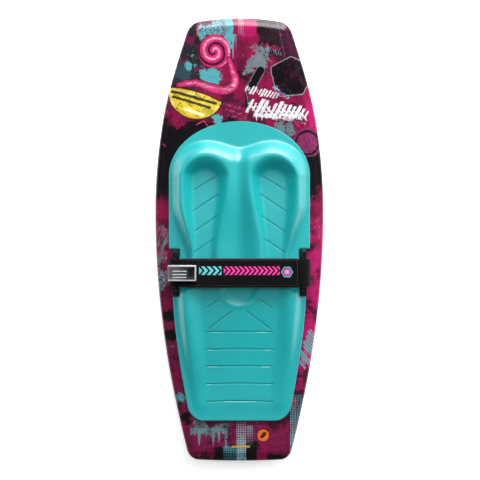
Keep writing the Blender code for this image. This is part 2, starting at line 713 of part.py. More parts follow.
def buckle_pin():
    base = (PIN_X, ANCHOR_Y - PIN_LENGTH / 2, DECK_Z + PIN_HEIGHT)
    cylinder("buckle_pin", base, PIN_RADIUS, PIN_LENGTH, "Y")


def pin_hole():
    """A cutter for the pin's bearing holes."""
    length = PIN_LENGTH + OVERSHOOT
    base = (PIN_X, ANCHOR_Y - length / 2, DECK_Z + PIN_HEIGHT)
    return cylinder("pin_hole", base, PIN_RADIUS + PIN_PLAY, length, "Y")


def buckle_webbing():
    """Runs under the lever's hub, round the end of the strap, and down to the left anchor strap."""
    path = [
        (-0.1420, 0.0576),
        (-0.1720, 0.0576),
        (-0.2030, 0.0576),
        (-0.2082, 0.0560),
        (-0.2105, 0.0500),
        (-0.2105, 0.0400),
        (-0.2070, 0.0290),
        (-0.2028, 0.0220),
        (-0.2026, 0.0150),
    ]
    ribbon("buckle_webbing", path, WEBBING_WIDTH, WEBBING_THICK)


def buckle_lever():
    """A folded cover plate with a hub round the pin. Its right end lifts, over a finger gap."""
    half = LEVER_WIDTH / 2
    top, skirt = DECK_Z + LEVER_TOP, DECK_Z + LEVER_SKIRT
    pin_z = DECK_Z + PIN_HEIGHT
    lever = box(
        "buckle_lever",
        (LEVER_LEFT, ANCHOR_Y - half, skirt),
        (LEVER_RIGHT, ANCHOR_Y + half, top),
        "steel",
    )
    bevel(lever, LEVER_BEVEL, segments=1)
    apply_modifiers(lever)
    inner = half - LEVER_SIDE
    inside = box(
        "inside",
        (LEVER_LEFT - OVERSHOOT, ANCHOR_Y - inner, skirt - OVERSHOOT),
        (LEVER_RIGHT - LEVER_PLATE, ANCHOR_Y + inner, top - LEVER_PLATE),
    )
    combine(lever, inside, "DIFFERENCE")
    finger = box(
        "finger",
        (LEVER_RIGHT - LIP_LENGTH, ANCHOR_Y - half - OVERSHOOT, skirt - OVERSHOOT),
        (LEVER_RIGHT + OVERSHOOT, ANCHOR_Y + half + OVERSHOOT, DECK_Z + LIP_HEIGHT),
    )
    combine(lever, finger, "DIFFERENCE")
    hub_low, hub_high = ANCHOR_Y - HUB_LENGTH / 2, ANCHOR_Y + HUB_LENGTH / 2
    web = box(
        "web", (PIN_X - HUB_WEB / 2, hub_low, pin_z), (PIN_X + HUB_WEB / 2, hub_high, top - LEVER_PLATE / 3)
    )
    combine(lever, web, "UNION")
    combine(lever, cylinder("hub", (PIN_X, hub_low, pin_z), HUB_RADIUS, HUB_LENGTH, "Y"), "UNION")
    combine(lever, pin_hole(), "DIFFERENCE")


# ---- Joints -----------------------------------------------------------------------------------

STRAP_PIECES = (
    "strap_cover",
    "strap_padding",
    "hook_panel",
    "buckle_webbing",
    "buckle_frame",
    "buckle_pin",
    "buckle_rivet_front",
    "buckle_rivet_rear",
)


def joint_empty(name, place, pieces):
    """An empty on a joint's axis, which carries the pieces that turn about it."""
    empty = bpy.data.objects.new(name, None)
    empty.location = place
    PARTS.objects.link(empty)
    bpy.context.view_layer.update()
    for piece in pieces:
        piece.parent = empty
        piece.matrix_parent_inverse = empty.matrix_world.inverted()
    return empty


def joints():
    lever = [bpy.data.objects["buckle_lever"]]
    lever_hinge = joint_empty("lever_hinge", (PIN_X, ANCHOR_Y, DECK_Z + PIN_HEIGHT), lever)
    strap = [bpy.data.objects[name] for name in STRAP_PIECES]
    joint_empty("strap_fold", (FOLD_X, ANCHOR_Y, DECK_Z + FOLD_HEIGHT), [*strap, lever_hinge])


def main():
    deck_skin()
    bottom_skin()
    foam_core()
    pad_adhesive()
    knee_pad()
    for side in (-1, 1):
        anchor_bracket(side)
    for side, end in ANCHOR_SCREWS:
        anchor_screw(side, end)
    anchor_straps()
    thigh_strap()
    buckle_frame()
    buckle_pin()
    buckle_webbing()
    buckle_lever()
    joints()


clear_scene()
PARTS = collection("kneeboard")
main()
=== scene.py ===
"""Looks for the kneeboard: printed deck, moulded pad, woven strap and steel buckle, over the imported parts.

Frame: +Y runs to the nose, +X to the rider's right, +Z up, metres. Z = 0 is the flat of the underside.
"""

import json
import math

import bmesh
import bpy
import numpy as np
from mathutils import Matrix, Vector


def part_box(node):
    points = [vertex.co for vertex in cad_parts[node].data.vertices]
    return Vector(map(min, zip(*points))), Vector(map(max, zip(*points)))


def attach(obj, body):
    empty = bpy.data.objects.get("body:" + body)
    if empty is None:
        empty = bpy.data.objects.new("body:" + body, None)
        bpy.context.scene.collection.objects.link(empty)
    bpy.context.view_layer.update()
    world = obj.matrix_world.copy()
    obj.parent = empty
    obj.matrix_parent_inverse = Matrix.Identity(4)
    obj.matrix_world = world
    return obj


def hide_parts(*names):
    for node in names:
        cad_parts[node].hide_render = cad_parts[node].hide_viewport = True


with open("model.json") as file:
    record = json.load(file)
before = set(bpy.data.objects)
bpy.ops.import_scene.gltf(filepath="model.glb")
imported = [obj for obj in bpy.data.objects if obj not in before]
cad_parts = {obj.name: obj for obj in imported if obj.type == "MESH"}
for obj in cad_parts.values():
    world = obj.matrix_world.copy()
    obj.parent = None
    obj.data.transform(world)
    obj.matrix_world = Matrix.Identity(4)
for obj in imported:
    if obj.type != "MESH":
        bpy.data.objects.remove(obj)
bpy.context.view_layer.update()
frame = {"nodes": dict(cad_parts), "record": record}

# ---- The board's form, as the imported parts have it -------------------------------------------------

DECK_LOW, DECK_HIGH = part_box("deck_skin")
LENGTH = DECK_HIGH.y - DECK_LOW.y
WIDTH = 0.500
WIDE_POINT_Y = 0.080
NOSE_TAPER, NOSE_POWER = 0.419, 2.07
TAIL_TAPER, TAIL_POWER = 0.410, 1.95
CORNER_RADIUS = 0.026
NOSE_CROWN_RADIUS, TAIL_CROWN_RADIUS, CROWN_RUN = 0.684, 2.400, 0.300
BOTTOM_DROP, DECK_RISE = 0.018, 0.026
DECK_Z = BOTTOM_DROP + DECK_RISE
RAIL_RUN, RAIL_RISE = 0.010, 0.014
BEVEL_START, BEVEL_END = 0.006, 0.030
CHINE_RUN, CHINE_DROP, CHINE_BEVEL_END = 0.014, 0.012, 0.055
NOSE_ROCKER, NOSE_ROCKER_START = 0.060, 0.150
TAIL_ROCKER, TAIL_ROCKER_START = 0.035, -0.250
CHANNEL_MIDDLE, CHANNEL_HALF, CHANNEL_DEPTH = 0.46, 0.16, 0.006
CHANNEL_START, CHANNEL_FULL = -0.240, -0.420
SKIN, SEAM = 0.0025, 0.0004

STRAP_Y = -0.096


def smoothstep(start, end, value):
    t = np.clip((value - start) / (end - start), 0.0, 1.0)
    return t * t * (3.0 - 2.0 * t)


def mix(a, b, t):
    return a + (b - a) * t


def side_half_width(y):
    ahead = np.maximum(0.0, (y - WIDE_POINT_Y) / (LENGTH / 2 - WIDE_POINT_Y))
    behind = np.maximum(0.0, (WIDE_POINT_Y - y) / (LENGTH / 2 + WIDE_POINT_Y))
    return WIDTH / 2 * (1 - NOSE_TAPER * ahead**NOSE_POWER - TAIL_TAPER * behind**TAIL_POWER)


def half_width(y, inset=0.0):
    radius = CORNER_RADIUS - inset
    into_corner = np.clip(radius - (LENGTH / 2 - inset - np.abs(y)), 0.0, radius)
    return side_half_width(y) - inset - (radius - np.sqrt(radius**2 - into_corner**2))


def edge_distance(x, y):
    side = side_half_width(y) - np.abs(x)
    end = LENGTH / 2 - np.abs(y)
    corner = CORNER_RADIUS - np.hypot(CORNER_RADIUS - side, CORNER_RADIUS - end)
    rounded = (side < CORNER_RADIUS) & (end < CORNER_RADIUS)
    return np.maximum(0.0, np.where(rounded, corner, np.minimum(side, end)))


def crowned(x, y):
    radius = np.where(y > 0, NOSE_CROWN_RADIUS, TAIL_CROWN_RADIUS)
    share = smoothstep(LENGTH / 2 - CROWN_RUN, LENGTH / 2, np.abs(y))
    return y - np.sign(y) * x * x / (2 * radius) * share


def parting_height(y):
    nose = np.maximum(0.0, (y - NOSE_ROCKER_START) / (LENGTH / 2 - NOSE_ROCKER_START))
    tail = np.maximum(0.0, (TAIL_ROCKER_START - y) / (LENGTH / 2 + TAIL_ROCKER_START))
    return BOTTOM_DROP + NOSE_ROCKER * nose**2 + TAIL_ROCKER * tail**2


def round_over(distance, run):
    """From 0 at an edge to 1 at the end of the run, along a quarter ellipse."""
    return np.sqrt(1 - (1 - np.clip(distance / run, 0.0, 1.0)) ** 2)


def deck_height(x, y, depth=0.0):
    distance = edge_distance(x, y) - depth
    rise = RAIL_RISE * round_over(distance, RAIL_RUN)
    rise += (DECK_RISE - RAIL_RISE) * smoothstep(BEVEL_START, BEVEL_END, distance)
    return parting_height(y) + SEAM / 2 + rise * (DECK_RISE - SEAM / 2 - depth) / DECK_RISE


def hull_height(x, y, depth=0.0):
    distance = edge_distance(x, y) - depth
    drop = CHINE_DROP * round_over(distance, CHINE_RUN)
    drop += (BOTTOM_DROP - CHINE_DROP) * smoothstep(CHINE_RUN / 2, CHINE_BEVEL_END, distance)
    across = np.maximum(0.0, 1 - ((np.abs(x) / side_half_width(y) - CHANNEL_MIDDLE) / CHANNEL_HALF) ** 2)
    channel = CHANNEL_DEPTH * across**1.5 * smoothstep(CHANNEL_START, CHANNEL_FULL, y)
    drop = drop * (BOTTOM_DROP - SEAM / 2 - depth) / BOTTOM_DROP - channel
    return parting_height(y) - SEAM / 2 - np.maximum(0.0, drop)


# ---- Mesh helpers ------------------------------------------------------------------------------


def shaded(mesh, angle):
    """Smooth but for edges sharper than an angle in degrees."""
    mesh.shade_smooth()
    mesh.set_sharp_from_angle(angle=math.radians(angle))
    return mesh


def placed(name, data):
    """A mesh, a light or a camera, put in the scene as an object."""
    obj = bpy.data.objects.new(name, data)
    bpy.context.scene.collection.objects.link(obj)
    return obj


def written(bm, mesh):
    """The working copy put back into its mesh."""
    bm.to_mesh(mesh)
    bm.free()
    return mesh


def add_mesh(name, points, faces, smooth_angle=40):
    mesh = bpy.data.meshes.new(name)
    mesh.from_pydata([tuple(p) for p in points], [], faces)
    bm = bmesh.new()
    bm.from_mesh(mesh)
    bmesh.ops.recalc_face_normals(bm, faces=bm.faces)
    if bm.calc_volume(signed=True) < 0:
        bmesh.ops.reverse_faces(bm, faces=bm.faces)
    return placed(name, shaded(written(bm, mesh), smooth_angle))


def grid_faces(rows, columns, wrap=False):
    """Quads over a rows by columns array of points. wrap joins the last column to the first."""
    last = columns if wrap else columns - 1
    faces = []
    for j in range(rows - 1):
        for i in range(last):
            k = (i + 1) % columns
            faces.append((j * columns + i, j * columns + k, (j + 1) * columns + k, (j + 1) * columns + i))
    return faces


def rim_loop(rows, columns):
    """The indices round the border of a grid of points, in order."""
    front = list(range(columns))
    right = [j * columns + columns - 1 for j in range(1, rows)]
    back = [(rows - 1) * columns + i for i in range(columns - 2, -1, -1)]
    left = [j * columns for j in range(rows - 2, 0, -1)]
    return front + right + back + left


def slab_mesh(name, upper, lower):
    """A closed solid between two grids of points, each an array of rows by columns by 3."""
    rows, columns = upper.shape[:2]
    count = rows * columns
    faces = grid_faces(rows, columns)
    faces += [tuple(count + i for i in reversed(face)) for face in grid_faces(rows, columns)]
    loop = rim_loop(rows, columns)
    faces += [(a, a + count, b + count, b) for a, b in zip(loop, loop[1:] + loop[:1])]
    return add_mesh(name, np.concatenate([upper.reshape(-1, 3), lower.reshape(-1, 3)]), faces)


MIDDLE_ROWS, END_RUN = 105, 0.060
RAIL_SHARE = 0.30


def board_grid(insets, shares, height, depth):
    """Points of one face of the board at a depth inside it, close together at the rails."""
    insets = np.array(insets)
    last = LENGTH / 2 - END_RUN
    middle = np.linspace(-last, last, MIDDLE_ROWS)
    ends = LENGTH / 2 - depth - insets
    y = np.concatenate([-ends, middle, ends[::-1]])[:, None]
    half = half_width(y, depth)
    near = half - insets[None, :] * np.minimum(1.0, half * RAIL_SHARE / insets[-1])
    between = np.array(shares)[None, :] * (half + depth)
    right = np.concatenate([near, between], axis=1)
    x = np.concatenate([-right, 0 * half, right[:, ::-1]], axis=1)
    y = np.broadcast_to(y, x.shape)
    return np.stack([x, crowned(x, y), height(x, y, depth)], axis=-1)


def board_shell(name, insets, shares, height):
    outer = board_grid(insets, shares, height, 0.0)
    inner = board_grid(insets, shares, height, SKIN)
    return slab_mesh(name, outer, inner)


def smooth_path(points, steps=6):
    """Points along a Catmull-Rom curve through the given points."""
    points = np.array(points, float)
    ends = np.concatenate([points[:1], points, points[-1:]])
    path = []
    for p, q, r, s in zip(ends, ends[1:], ends[2:], ends[3:]):
        for t in np.linspace(0, 1, steps, endpoint=False):
            bend = (2 * p - 5 * q + 4 * r - s) * t * t + (3 * q - p - 3 * r + s) * t**3
            path.append(0.5 * (2 * q + (r - p) * t + bend))
    return np.array([*path, points[-1]])


def section(width, thickness, radius, across=14):
    """Points (y, n) round a flat section with rounded edges, n along the band's normal."""
    half, top = width / 2, thickness / 2
    radius = min(radius, top * 0.98)
    upper = [(y, top) for y in np.linspace(-half + radius, half - radius, across)]
    turn = [
        (half - radius + radius * math.cos(a), top - radius + radius * math.sin(a))
        for a in (math.pi / 3, math.pi / 6, 0)
    ]
    right = turn + [(y, -n) for y, n in reversed(turn)]
    lower = [(y, -top) for y, _ in reversed(upper)]
    left = [(-y, n) for y, n in reversed(right)]
    return upper + right + lower + left


def band(name, path, outline):
    """Sweeps a section along a path of (x, height over the deck) and caps both ends."""
    path = smooth_path(path)
    tangent = np.gradient(path, axis=0)
    tangent /= np.linalg.norm(tangent, axis=1)[:, None]
    normal = np.stack([-tangent[:, 1], tangent[:, 0]], axis=1)
    if normal[len(normal) // 2, 1] < 0:
        normal = -normal
    points = []
    for point, out in zip(path, normal):
        for y, n in outline:
            x, z = point + out * n
            points.append((x, STRAP_Y + y, DECK_Z + z))
    count = len(outline)
    faces = grid_faces(len(path), count, wrap=True)
    faces += [tuple(range(count)), tuple(len(points) - 1 - i for i in range(count))]
    return add_mesh(name, points, faces)


def finish_box(name, low, high, radius, segments=3):
    """A box with rounded edges, given by two corners."""
    bm = bmesh.new()
    bmesh.ops.create_cube(bm, size=1.0)
    low, high = Vector(low), Vector(high)
    bmesh.ops.scale(bm, vec=high - low, verts=bm.verts)
    bmesh.ops.translate(bm, vec=(low + high) / 2, verts=bm.verts)
    bmesh.ops.bevel(bm, geom=bm.edges, offset=radius, segments=segments, profile=0.5, affect="EDGES")
    return placed(name, shaded(written(bm, bpy.data.meshes.new(name)), 40))


def rod(start, end, radius, segments=24):
    """A plain rod between two points, for cutting and joining."""
    run = Vector(end) - Vector(start)
    bm = bmesh.new()
    ring = {"segments": segments, "radius1": radius, "radius2": radius}
    bmesh.ops.create_cone(bm, cap_ends=True, depth=run.length, **ring)
    turn = run.to_track_quat("Z", "Y").to_matrix().to_4x4()
    turn.translation = (Vector(start) + Vector(end)) / 2
    bmesh.ops.transform(bm, matrix=turn, verts=bm.verts)
    return placed("tool", written(bm, bpy.data.meshes.new("tool")))


def cut(obj, cutter, operation="DIFFERENCE"):
    """Cuts one mesh from another, or joins it to it, and removes it."""
    modifier = obj.modifiers.new("cut", "BOOLEAN")
    modifier.operation = operation
    modifier.solver = "EXACT"
    modifier.object = cutter
    bpy.context.view_layer.update()
    graph = bpy.context.evaluated_depsgraph_get()
    mesh = bpy.data.meshes.new_from_object(obj.evaluated_get(graph))
    obj.modifiers.clear()
    obj.data = shaded(mesh, 35)
    bpy.data.objects.remove(cutter, do_unlink=True)


def shape(obj, spans, radius, operation="DIFFERENCE", segments=3):
    """Cuts a rounded box from a mesh, or joins it on, given the box's spans along X, Y and Z."""
    cut(obj, finish_box("tool", *zip(*spans), radius, segments), operation)


THREAD_LENGTH, THREAD_RADIUS = 0.0028, 0.00036
THREAD_PROFILE = ((-0.5, 0.35), (-0.3, 0.9), (0.3, 0.9), (0.5, 0.35))


def stitches(name, places):
    """A row of short rounded threads that lie along it, one at each place, all in one mesh."""
    places = [Vector(place) for place in places]
    along = (places[1] - places[0]).normalized()
    up = Vector((0, 0, 1))
    side = along.cross(up).normalized()
    points, faces = [], []
    for place in places:
        base = len(points)
        for t, size in THREAD_PROFILE:
            for k in range(6):
                angle = math.pi / 3 * k
                offset = side * math.cos(angle) + up * math.sin(angle)
                points.append(place + along * (t * THREAD_LENGTH) + offset * (THREAD_RADIUS * size))
        faces += [tuple(base + i for i in face) for face in grid_faces(4, 6, wrap=True)]
        faces += [tuple(base + i for i in range(6)), tuple(base + 23 - i for i in range(6))]
    return add_mesh(name, points, faces)


# ---- Node graphs -------------------------------------------------------------------------------


def srgb(red, green, blue):
    """A linear colour from 0 to 255 display values."""
    shares = [value / 255 for value in (red, green, blue)]
    return tuple(v / 12.92 if v <= 0.04045 else ((v + 0.055) / 1.055) ** 2.4 for v in shares)


# How far apart in space two noises are read, so that they don't match.
APART = 7.3


class Graph:
    """Builds a material's nodes. Each method adds a node or a few and returns an output socket."""

    def __init__(self, name, **values):
        self.material = bpy.data.materials.new(name)
        self.material.use_nodes = True
        self.tree = self.material.node_tree
        self.shader = self.tree.nodes["Principled BSDF"]
        for key, value in values.items():
            socket = self.shader.inputs[key.replace("_", " ")]
            socket.default_value = (*value, 1.0) if isinstance(value, tuple) else value
        self.place = self.node("ShaderNodeTexCoord").outputs["Object"]

    def node(self, kind, **settings):
        made = self.tree.nodes.new(kind)
        for key, value in settings.items():
            setattr(made, key, value)
        return made

    def feed(self, socket, value):
        if isinstance(value, bpy.types.NodeSocket):
            self.tree.links.new(value, socket)
        elif isinstance(value, tuple) and socket.type == "RGBA":
            socket.default_value = (*value[:3], 1.0)
        else:
            socket.default_value = value

    def wired(self, kind, output, inputs, **settings):
        """A node with its inputs, by name or place, fed. Returns one output."""
        made = self.node(kind, **settings)
        for key, value in inputs.items():
            self.feed(made.inputs[key], value)
        return made.outputs[output]

    def math(self, operation, a, b=0.0):
        return self.wired("ShaderNodeMath", 0, {0: a, 1: b}, operation=operation)

    def plus(self, a, b):
        return self.math("ADD", a, b)

    def minus(self, a, b):
        return self.math("SUBTRACT", a, b)

    def times(self, a, b):
        return self.math("MULTIPLY", a, b)

    def most(self, a, b):
        return self.math("MAXIMUM", a, b)

    def least(self, a, b):
        return self.math("MINIMUM", a, b)

    def vector(self, operation, a, b=(0.0, 0.0, 0.0), scale=None):
        inputs = {0: a, 1: b} if scale is None else {0: a, "Scale": scale}
        output = "Value" if operation in ("LENGTH", "DOT_PRODUCT") else "Vector"
        return self.wired("ShaderNodeVectorMath", output, inputs, operation=operation)

    def part(self, vector, axis):
        return self.wired("ShaderNodeSeparateXYZ", axis, {0: vector})

    def joined(self, x, y):
        return self.wired("ShaderNodeCombineXYZ", 0, {"X": x, "Y": y})

    def flat(self, vector):
        """The vector with its Z taken out, so that patterns run straight down through the surface."""
        return self.vector("MULTIPLY", vector, (1.0, 1.0, 0.0))

    def clamped(self, value):
        return self.most(self.least(value, 1.0), 0.0)

    def ramp(self, value, start, end):
        """0 before start, 1 after end, straight between them."""
        share = self.times(self.minus(value, start), 1 / (end - start))
        return self.clamped(share)

    def span(self, value, start, end):
        """0 before start, 1 after end, eased between them."""
        inputs = {"Value": value, "From Min": start, "From Max": end}
        return self.wired("ShaderNodeMapRange", "Result", inputs, interpolation_type="SMOOTHSTEP")

    def noise(self, vector, scale, detail=3.0, roughness=0.55):
        inputs = {"Vector": vector, "Scale": scale, "Detail": detail, "Roughness": roughness}
        return self.wired("ShaderNodeTexNoise", "Fac", inputs)

    def cells(self, vector, scale):
        return self.wired("ShaderNodeTexVoronoi", "Distance", {"Vector": vector, "Scale": scale})

    def warp(self, vector, scale, amount, detail=2.0):
        """Shifts a vector about by noise, so that shapes drawn on it get rough edges."""
        shifts = []
        for start in (0.0, APART):
            value = self.noise(self.vector("ADD", vector, (start, start, start)), scale, detail)
            shifts.append(self.times(self.minus(value, 0.5), amount))
        return self.vector("ADD", vector, self.joined(*shifts))

    def mix(self, factor, a, b):
        return self.wired("ShaderNodeMix", 2, {"Factor": factor, 6: a, 7: b}, data_type="RGBA")

    def bump(self, height, distance, strength):
        return self.wired("ShaderNodeBump", 0, {"Height": height, "Distance": distance, "Strength": strength})

    def set(self, name, value):
        self.feed(self.shader.inputs[name], value)

    # Distances to shapes, in metres: below 0 inside.

    def capsule(self, vector, start, end, radius):
        a, b = Vector((*start, 0.0)), Vector((*end, 0.0))
        run = b - a
        from_a = self.vector("SUBTRACT", vector, tuple(a))
        share = self.clamped(self.vector("DOT_PRODUCT", from_a, tuple(run / run.length_squared)))
        off = self.vector("SUBTRACT", from_a, self.vector("SCALE", tuple(run), scale=share))
        return self.minus(self.vector("LENGTH", off), radius)

    def union(self, distances):
        found = distances[0]
        for distance in distances[1:]:
            found = self.least(found, distance)
        return found

    def stroke(self, vector, points, radius):
        return self.union([self.capsule(vector, a, b, radius) for a, b in zip(points, points[1:])])

    def disc(self, vector, centre, radius):
        off = self.vector("LENGTH", self.vector("SUBTRACT", vector, (*centre, 0.0)))
        return self.minus(off, radius)

    def ellipse(self, vector, centre, radii, angle=0.0):
        off = self.vector("SUBTRACT", vector, (*centre, 0.0))
        c, s = math.cos(math.radians(angle)), math.sin(math.radians(angle))
        along = self.vector("DOT_PRODUCT", off, (c / radii[0], s / radii[0], 0.0))
        across = self.vector("DOT_PRODUCT", off, (-s / radii[1], c / radii[1], 0.0))
        size = self.math("SQRT", self.plus(self.math("POWER", along, 2.0), self.math("POWER", across, 2.0)))
        return self.times(self.minus(size, 1.0), min(radii))

    def polygon(self, vector, points):
        """A convex outline, its points given counter-clockwise."""
        found = None
        for a, b in zip(points, points[1:] + points[:1]):
            run = Vector(b) - Vector(a)
            normal = Vector((run.y, -run.x)).normalized()
            beyond = self.minus(self.vector("DOT_PRODUCT", vector, (*normal, 0.0)), normal.dot(Vector(a)))
            found = beyond if found is None else self.most(found, beyond)
        return found

    def box(self, vector, low, high):
        return self.polygon(vector, [low, (high[0], low[1]), high, (low[0], high[1])])

    def inside(self, distance, soft=0.0006):
        return self.span(distance, soft, -soft)

    def both(self, a, b):
        return self.times(a, b)

    def dots(self, vector, pitch, size, square=False):
        """A regular grid of dots. size is a share of the pitch, up to 0.5."""
        cell = self.vector("FRACTION", self.vector("SCALE", vector, scale=1 / pitch))
        off = self.flat(self.vector("SUBTRACT", cell, (0.5, 0.5, 0.0)))
        if square:
            off = self.vector("ABSOLUTE", off)
            reach = self.most(self.part(off, "X"), self.part(off, "Y"))
        else:
            reach = self.vector("LENGTH", off)
        return self.span(self.minus(reach, size), 0.06, -0.06)


# ---- Deck print --------------------------------------------------------------------------------

MAGENTA = srgb(124, 8, 60)
BRIGHT_MAGENTA = srgb(158, 8, 80)
DEEP_MAGENTA = srgb(66, 12, 38)
PINK = srgb(184, 50, 102)
PALE_PINK = srgb(226, 148, 178)
TEAL = srgb(72, 148, 156)
GREY_TEAL = srgb(82, 116, 122)
INK = srgb(12, 10, 13)
CHARCOAL = srgb(38, 38, 43)
PURPLE = srgb(54, 16, 38)
YELLOW = srgb(206, 182, 46)
PALE_YELLOW = srgb(222, 206, 96)
PALE = srgb(204, 206, 208)


def mm(*pairs):
    """Points given in millimetres, as metres."""
    return [(x / 1000, y / 1000) for x, y in pairs]


# The least half-height of a stroke in a row of hatching, before the random share of up to 1.
SHORTEST = 0.45


class Print:
    """Layers of ink on the deck, one painted over the other. Places are in millimetres."""

    def __init__(self, graph):
        self.g = graph
        self.point = graph.flat(graph.place)
        self.rough = graph.warp(self.point, 110.0, 0.007, 3.0)
        self.ragged = graph.warp(self.point, 30.0, 0.034, 5.0)
        self.x, self.y = graph.part(self.point, "X"), graph.part(self.point, "Y")
        self.cloud = graph.noise(self.point, 16.0, 6.0, 0.68)
        self.grit = graph.noise(self.point, 150.0, 4.0, 0.75)
        self.ragged_noise = graph.noise(self.ragged, 30.0, 5.0, 0.7)
        self.colour = MAGENTA

    def paint(self, colour, mask):
        self.colour = self.g.mix(mask, self.colour, colour)

    def zone(self, left, right, low, high, soft=8.0, torn=0.0):
        """1 inside a box, with soft sides. torn moves the sides about by noise, in millimetres."""
        shift = self.g.times(self.g.minus(self.cloud, 0.5), torn / 250)
        x, y = self.g.plus(self.x, shift), self.g.plus(self.y, shift)
        mask = None
        for value, start, end in ((x, left, left + soft), (x, right, right - soft),
                                  (y, low, low + soft), (y, high, high - soft)):
            side = self.g.span(value, start / 1000, end / 1000)
            mask = side if mask is None else self.g.both(mask, side)
        return mask

    def block(self, colour, box, soft=8.0, torn=0.0, worn=None):
        """A block of ink. worn is a pattern and the values between which the ink comes through it."""
        mask = self.zone(*box, soft, torn)
        self.paint(colour, self.g.both(mask, self.g.span(*worn)) if worn else mask)

    def streaks(self, angle, start=0.42, end=0.58, across=260.0, along=9.0):
        """Dry-brush streaks that run at an angle in degrees from +X."""
        c, s = math.cos(math.radians(angle)), math.sin(math.radians(angle))
        runs = (c * along, s * along, 0.0), (-s * across, c * across, 0.0)
        turned = self.g.joined(*(self.g.vector("DOT_PRODUCT", self.point, run) for run in runs))
        return self.g.span(self.g.noise(turned, 1.0, 4.0, 0.6), start, end)

    def splat(self, centre, radius, colour, spread=1.7):
        """A ragged blot with a ring of specks thrown out round it."""
        centre = mm(centre)[0]
        torn = self.g.plus(self.g.times(self.grit, 0.034), self.g.times(self.cloud, 0.060))
        distance = self.g.plus(self.g.disc(self.ragged, centre, radius / 1000), torn)
        blot = self.g.inside(self.g.minus(distance, 0.047), 0.0012)
        near = self.g.span(self.g.disc(self.point, centre, 0.0), radius * spread / 1000, radius * 0.7 / 1000)
        speck = self.g.span(self.g.cells(self.rough, 150.0), 0.24, 0.17)
        self.paint(colour, self.g.most(blot, self.g.both(speck, near)))

    def brushed(self, points, radius, colour, angle=None, edge=None):
        """A stroke with rough edges. With an angle it has dry-brush streaks; edge is a colour round it."""
        distance = self.g.stroke(self.rough, mm(*points), radius / 1000)
        if edge is not None:
            self.paint(edge, self.g.inside(self.g.minus(distance, 0.0022)))
        mask = self.g.inside(distance)
        if angle is not None:
            mask = self.g.both(mask, self.streaks(angle))
        self.paint(colour, mask)

    def screen(self, left, right, low, high, colour, pitch=4.2, small=0.10, large=0.44, square=True):
        """Screen-print dots in a box that grow from small at its top to large at its foot."""
        size = self.g.ramp(self.y, high / 1000, low / 1000)
        size = self.g.plus(self.g.times(size, large - small), small)
        dots = self.g.dots(self.point, pitch / 1000, size, square)
        self.paint(colour, self.g.both(dots, self.zone(left, right, low, high, 2.0)))

    def drips(self, left, right, top, length, colour, fine=90.0):
        """Runs of paint down from a level, each of its own length."""
        column = self.g.vector("MULTIPLY", self.point, (fine, 0.0, 0.0))
        run = self.g.span(self.g.noise(column, 1.0, 1.0), 0.38, 0.72)
        foot = self.g.minus(top / 1000, self.g.times(run, length / 1000))
        below = self.g.span(self.g.minus(self.y, foot), -0.001, 0.001)
        self.paint(colour, self.g.both(below, self.zone(left, right, top - length, top + 2, 3.0)))

    def hatching(self, start, end, height, pitch, width, colour, lean=0.35):
        """A row of leaning dry-brush strokes from one point to another, their lengths uneven."""
        a, b = (Vector(p) for p in mm(start, end))
        run = (b - a).normalized()
        from_a = self.g.vector("SUBTRACT", self.rough, (a.x, a.y, 0.0))
        across = self.g.vector("DOT_PRODUCT", from_a, (-run.y, run.x, 0.0))
        along = self.g.vector("DOT_PRODUCT", from_a, (run.x, run.y, 0.0))
        along = self.g.minus(along, self.g.times(across, lean))
        cell = self.g.math("DIVIDE", along, pitch / 1000)
        share = self.g.math("ABSOLUTE", self.g.minus(self.g.math("FRACT", cell), 0.5))
        number = {"W": self.g.math("FLOOR", cell)}
        luck = self.g.wired("ShaderNodeTexWhiteNoise", "Value", number, noise_dimensions="1D")
        stroke = self.g.times(self.g.plus(luck, 0.55), width / pitch / 2)
        line = self.g.span(self.g.minus(share, stroke), 0.04, -0.04)
        reach = self.g.times(self.g.plus(luck, SHORTEST), height / 2000 / (1 + SHORTEST))
        tall = self.g.span(self.g.minus(self.g.math("ABSOLUTE", across), reach), 0.0008, -0.0008)
        length = (b - a).length
        ends = self.g.both(self.g.span(along, 0.0, 0.001), self.g.span(along, length, length - 0.001))
        self.paint(colour, self.g.both(self.g.both(line, tall), ends))


def print_ground(art):
    """Magenta that breaks up into dark, with black shoulders beside the pad's front."""
    g = art.g
    art.paint(DEEP_MAGENTA, g.span(art.cloud, 0.50, 0.60))
    lower_left = g.both(g.span(art.x, 0.02, -0.14), g.span(art.y, -0.100, -0.180))
    art.paint(srgb(98, 18, 56), g.both(lower_left, g.span(art.cloud, 0.36, 0.50)))
    art.paint(INK, g.both(g.both(lower_left, g.span(art.ragged_noise, 0.56, 0.60)), 0.85))
    right = g.both(g.span(art.x, 0.15, 0.19), g.span(art.y, 0.10, 0.02))
    art.paint(srgb(166, 14, 88), g.both(right, g.span(art.cloud, 0.62, 0.46)))
    torn = g.plus(art.y, g.times(g.minus(art.cloud, 0.5), 0.22))
    left = g.both(g.span(torn, 0.085, 0.125), g.span(torn, 0.372, 0.340))
    right = g.both(g.span(torn, 0.100, 0.150), g.span(torn, 0.300, 0.268))
    left, right = g.both(left, g.span(art.x, 0.03, -0.03)), g.both(right, g.span(art.x, -0.03, 0.03))
    art.paint(INK, g.most(left, right))
    fade = g.both(g.span(art.y, 0.045, 0.075), g.span(art.y, 0.175, 0.120))
    size = g.times(g.ramp(art.y, 0.170, 0.060), 0.46)
    fade = g.both(fade, g.span(g.math("ABSOLUTE", art.x), 0.1, 0.2))
    art.paint(MAGENTA, g.both(g.dots(art.point, 0.0052, size), fade))
    fleck = g.span(g.cells(art.rough, 120.0), 0.13, 0.08)
    art.paint(INK, g.both(fleck, g.span(art.cloud, 0.46, 0.54)))


